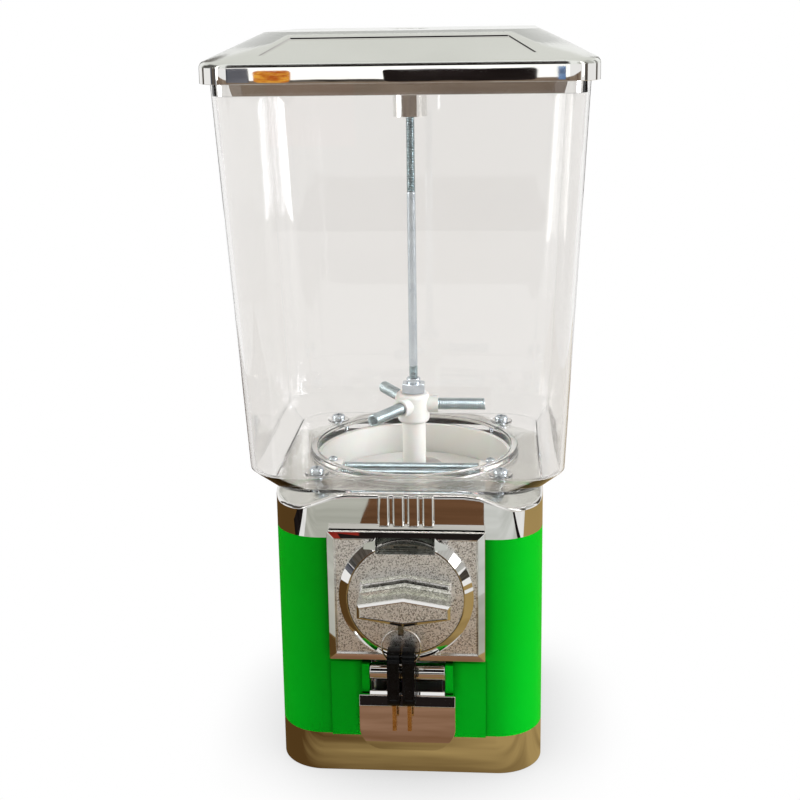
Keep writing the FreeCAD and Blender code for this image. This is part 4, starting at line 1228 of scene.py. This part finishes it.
def make_ring_eye(axis):
    y = centre("key_ring").y
    z = axis.z - EYE_DROP
    left = EYE_X - EYE_HALF
    right = EYE_X + EYE_HALF
    eye = round_bar("ring_eye", EYE_RADIUS, (left, y, z), (right, y, z), 40)
    stem_top = axis.z - GRIP_RISE + EYE_STEM_SUNK
    stem = cube("stem", (left, y - EYE_RADIUS, z), (right, y + EYE_RADIUS, stem_top))
    carve(eye, stem, "UNION")
    carve(eye, round_bar("hole", EYE_HOLE, (left - OVERRUN, y, z), (right + OVERRUN, y, z), 32))
    clean(eye)
    soften(eye, EYE_EDGE, 2)
    # Dark steel rather than its chrome: painted shade, so that the eye sinks into the dark below the
    # grip.
    settle(eye, "knob", "polished_chrome", finish=DARK_STEEL)


HOLDER_STEPS = ((0.7 * MM, 0), (0.25 * MM, 0.9 * MM), (0.5 * MM, 0), (0.2 * MM, 0.9 * MM))
HOLDER_CLEAR = 0.2 * MM
HOLDER_EDGE = 0.12 * MM
SLIT_HALF = 6.2 * MM
SLIT_FOOT = 2.1 * MM
SLIT_TOP = 3.5 * MM
SLIT_BACK = 0.6 * MM


def make_coin_carrier():
    low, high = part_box("coin_carrier")
    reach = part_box("knob")[1].x - HOLDER_CLEAR
    axis = knob_axis()
    half = WINDOW_HALF - HOLDER_CLEAR
    holder = cube("coin_holder", (-half, low.y, low.z), (half, high.y, high.z))
    with Shaping(holder):
        pick("FACE", lambda face: face.normal.y < -0.9)
        for width, depth in HOLDER_STEPS:
            inset(width, -depth)
    slit = cube("slit", (-SLIT_HALF, low.y - OVERRUN, low.z + SLIT_FOOT),
                (SLIT_HALF, high.y - SLIT_BACK, low.z + SLIT_TOP))
    carve(holder, slit)
    disc = round_bar("disc", reach, (0, low.y - OVERRUN, axis.z),
                     (0, high.y + OVERRUN, axis.z), 128)
    carve(holder, disc, "INTERSECT")
    clean(holder)
    soften(holder, HOLDER_EDGE, 2)
    settle(holder, "knob", "zinc_steel", "coin_carrier", finish=DARK_STEEL)


# Chute door

BARREL_RADIUS = 4.6 * MM
BARREL_LIFT = 1.6 * MM
BARREL_EDGE = 0.4 * MM
PIN_CLEAR = 0.1 * MM
FLAP_DEPTH = 3.5 * MM
FLAP_RISE = 3.2 * MM
FLAP_TOP_GAP = 0.5 * MM
WEB_HALF = 18.7 * MM
DOOR_HALF = 20.2 * MM
DOOR_WALL = 2.0 * MM
LEDGE_RISE = 1.4 * MM
LEDGE_BACK = 1.6 * MM
LEDGE_SLOPE = 1.5 * MM
LEDGE_EDGE = 0.2 * MM
LIP_CORNER = 13.0 * MM
LIP_HEIGHT = 29.4 * MM
LIP_CROWN = -0.4 * MM
LIP_DROP = 2.4 * MM
LIP_BEND = 5.8 * MM
LIP_BEND_ROUND = 0.4 * MM
LIP_LEAN = 1.45 * MM
LIP_DEPTH = 6.0 * MM
LIP_EDGE = 0.9 * MM


def make_chute_door():
    low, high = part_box("chute_door")
    pin_low, pin_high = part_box("door_pin")
    pin_y = (pin_low.y + pin_high.y) / 2
    pin_z = (pin_low.z + pin_high.z) / 2
    lip_y = low.y
    lip_top = low.z + LIP_HEIGHT
    door = make_lip(low, high, lip_top + LIP_CROWN)
    barrel_z = pin_z + BARREL_LIFT
    barrel = round_bar("barrel", BARREL_RADIUS, (-DOOR_HALF, pin_y, barrel_z),
                       (DOOR_HALF, pin_y, barrel_z))
    bore_radius = (pin_high.z - pin_low.z) / 2 + PIN_CLEAR
    bore = round_bar("bore", bore_radius, (-DOOR_HALF - OVERRUN, pin_y, pin_z),
                     (DOOR_HALF + OVERRUN, pin_y, pin_z), 32)
    carve(barrel, bore)
    soften(barrel, BARREL_EDGE, 2)
    flap_y = high.y - FLAP_DEPTH
    ledge_top = lip_top + LEDGE_RISE
    flap = cube("flap", (-DOOR_HALF, flap_y, low.z + FLAP_RISE),
                (DOOR_HALF, high.y, ledge_top - FLAP_TOP_GAP))
    webs = [cube("web", (left, flap_y, lip_top), (left + DOOR_HALF - WEB_HALF, high.y, barrel_z))
            for left in (-DOOR_HALF, WEB_HALF)]
    ledge_y = lip_y + LEDGE_BACK
    ledge = cube("ledge", (-DOOR_HALF, ledge_y, lip_top - DOOR_WALL),
                 (DOOR_HALF, high.y, ledge_top))
    with Shaping(ledge):
        pick("EDGE", lambda edge: run(edge).x > 0.9 and middle(edge).y < ledge_y + NEARBY
             and middle(edge).z > lip_top)
        round_edges(LEDGE_SLOPE, 1)
    soften(ledge, LEDGE_EDGE, 2)
    join(door, barrel, flap, ledge, *webs)
    settle(door, "door", "polished_chrome", "chute_door")


def make_lip(low, high, top):
    """The plate in front of the chute, bent back along its top."""
    foot = low.z - LIP_DROP
    bend = top - LIP_BEND
    lip = cube("door_lip", (low.x, low.y, foot), (high.x, low.y + LIP_DEPTH, bend))
    with Shaping(lip):
        pick("FACE", lambda face: face.normal.z > 0.9)
        push(0, 0, LIP_BEND)
        pick("VERT", lambda point: point.co.z > bend + NEARBY and point.co.y < low.y + NEARBY)
        move(0, LIP_LEAN, 0)
        pick("EDGE", lambda edge: run(edge).x > 0.9 and abs(middle(edge).z - bend) < TOUCHING
             and middle(edge).y < low.y + TOUCHING)
        round_edges(LIP_BEND_ROUND, 3)
    hollow = cube("hollow", (low.x - OVERRUN, low.y + DOOR_WALL, foot - OVERRUN),
                  (high.x + OVERRUN, low.y + LIP_DEPTH + OVERRUN, top - DOOR_WALL))
    carve(lip, hollow)
    with Shaping(lip):
        pick("EDGE", lambda edge: run(edge).y > 0.9 and middle(edge).z < foot + NEARBY)
        round_edges(LIP_CORNER, 14)
    soften(lip, LIP_EDGE, 4, 40)
    return lip


# Ring and keys

RING_WIRE = 0.8 * MM
RING_TURNS = 2
RING_PITCH = 0.82 * MM
KEY_CORNER = 5.0 * MM
KEY_HOLE = 4.2 * MM
KEY_HOLE_DROP = 7.5 * MM
KEY_SIDE_RIM = 1.1 * MM
KEY_SIDE_SUNK = 0.35 * MM
KEY_FACE_RIM = 1.6 * MM
KEY_FACE_SUNK = 0.3 * MM
KEY_SUNK_WALL = 0.3 * MM
KEY_EDGE = 0.5 * MM


def make_key_ring():
    place = centre("key_ring")
    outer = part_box("key_ring")[1].x - place.x
    length = RING_WIRE + RING_TURNS * RING_PITCH
    ring = winding("split_ring", length, outer, RING_WIRE, RING_TURNS, steps=72, sides=10)
    turn(ring, 90, "X")
    even(ring, WIRE_ANGLE)
    shift(ring, place.x, place.y + length / 2, place.z)
    settle(ring, "ring", "zinc_steel", "key_ring", finish=FINISHES["polished_chrome"])


def make_keys():
    for side in ("left", "right"):
        low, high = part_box("key_head_" + side)
        head = cube("key_bow_" + side, low, high)
        hole_z = high.z - KEY_HOLE_DROP
        with Shaping(head):
            pick("EDGE", lambda edge: run(edge).x > 0.9)
            round_edges(KEY_CORNER, 7)
            pick("FACE", lambda face: abs(face.normal.y) > 0.95)
            inset(KEY_SIDE_RIM)
            inset(KEY_SUNK_WALL, -KEY_SIDE_SUNK)
            pick("FACE", lambda face: abs(face.normal.x) > 0.95)
            inset(KEY_FACE_RIM)
            inset(KEY_SUNK_WALL, -KEY_FACE_SUNK)
        y = (low.y + high.y) / 2
        hole = round_bar("hole", KEY_HOLE, (low.x - OVERRUN, y, hole_z),
                         (high.x + OVERRUN, y, hole_z), 40)
        carve(head, hole)
        soften(head, KEY_EDGE, angle=25)
        settle(head, "key_" + side, "black_plastic", "key_head_" + side)


# Nut on the rod

NUT_HEIGHT = 5.7 * MM
NUT_FLATS = 12.5 * MM
NUT_EDGE = 0.5 * MM
NUT_COLLAR = 4.0 * MM
NUT_COLLAR_SUNK = 0.5 * MM
NUT_COLLAR_EDGE = 0.7 * MM


def make_hub_nut():
    low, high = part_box("hub_nut")
    top = low.z + NUT_HEIGHT
    nut = round_bar("lock_nut", NUT_FLATS / math.sqrt(3), (0, 0, low.z), (0, 0, top), 6)
    soften(nut, NUT_EDGE, 2)
    neck = round_bar("neck", NUT_COLLAR, (0, 0, top - NUT_COLLAR_SUNK), (0, 0, high.z), 40)
    soften(neck, NUT_COLLAR_EDGE)
    join(nut, neck)
    settle(nut, "casing", "zinc_steel", "hub_nut")


make_camera()
make_world()
make_lamps()
make_floor()
make_cards()
finish_cad_nodes()
make_globe()
make_stir_springs()
make_guard_springs()
make_rod()
make_lid()
make_collar()
make_coin_plate()
make_knob()
make_coin_carrier()
make_chute_door()
make_key_ring()
make_keys()
make_hub_nut()

bpy.context.scene.view_settings.view_transform = "Standard"
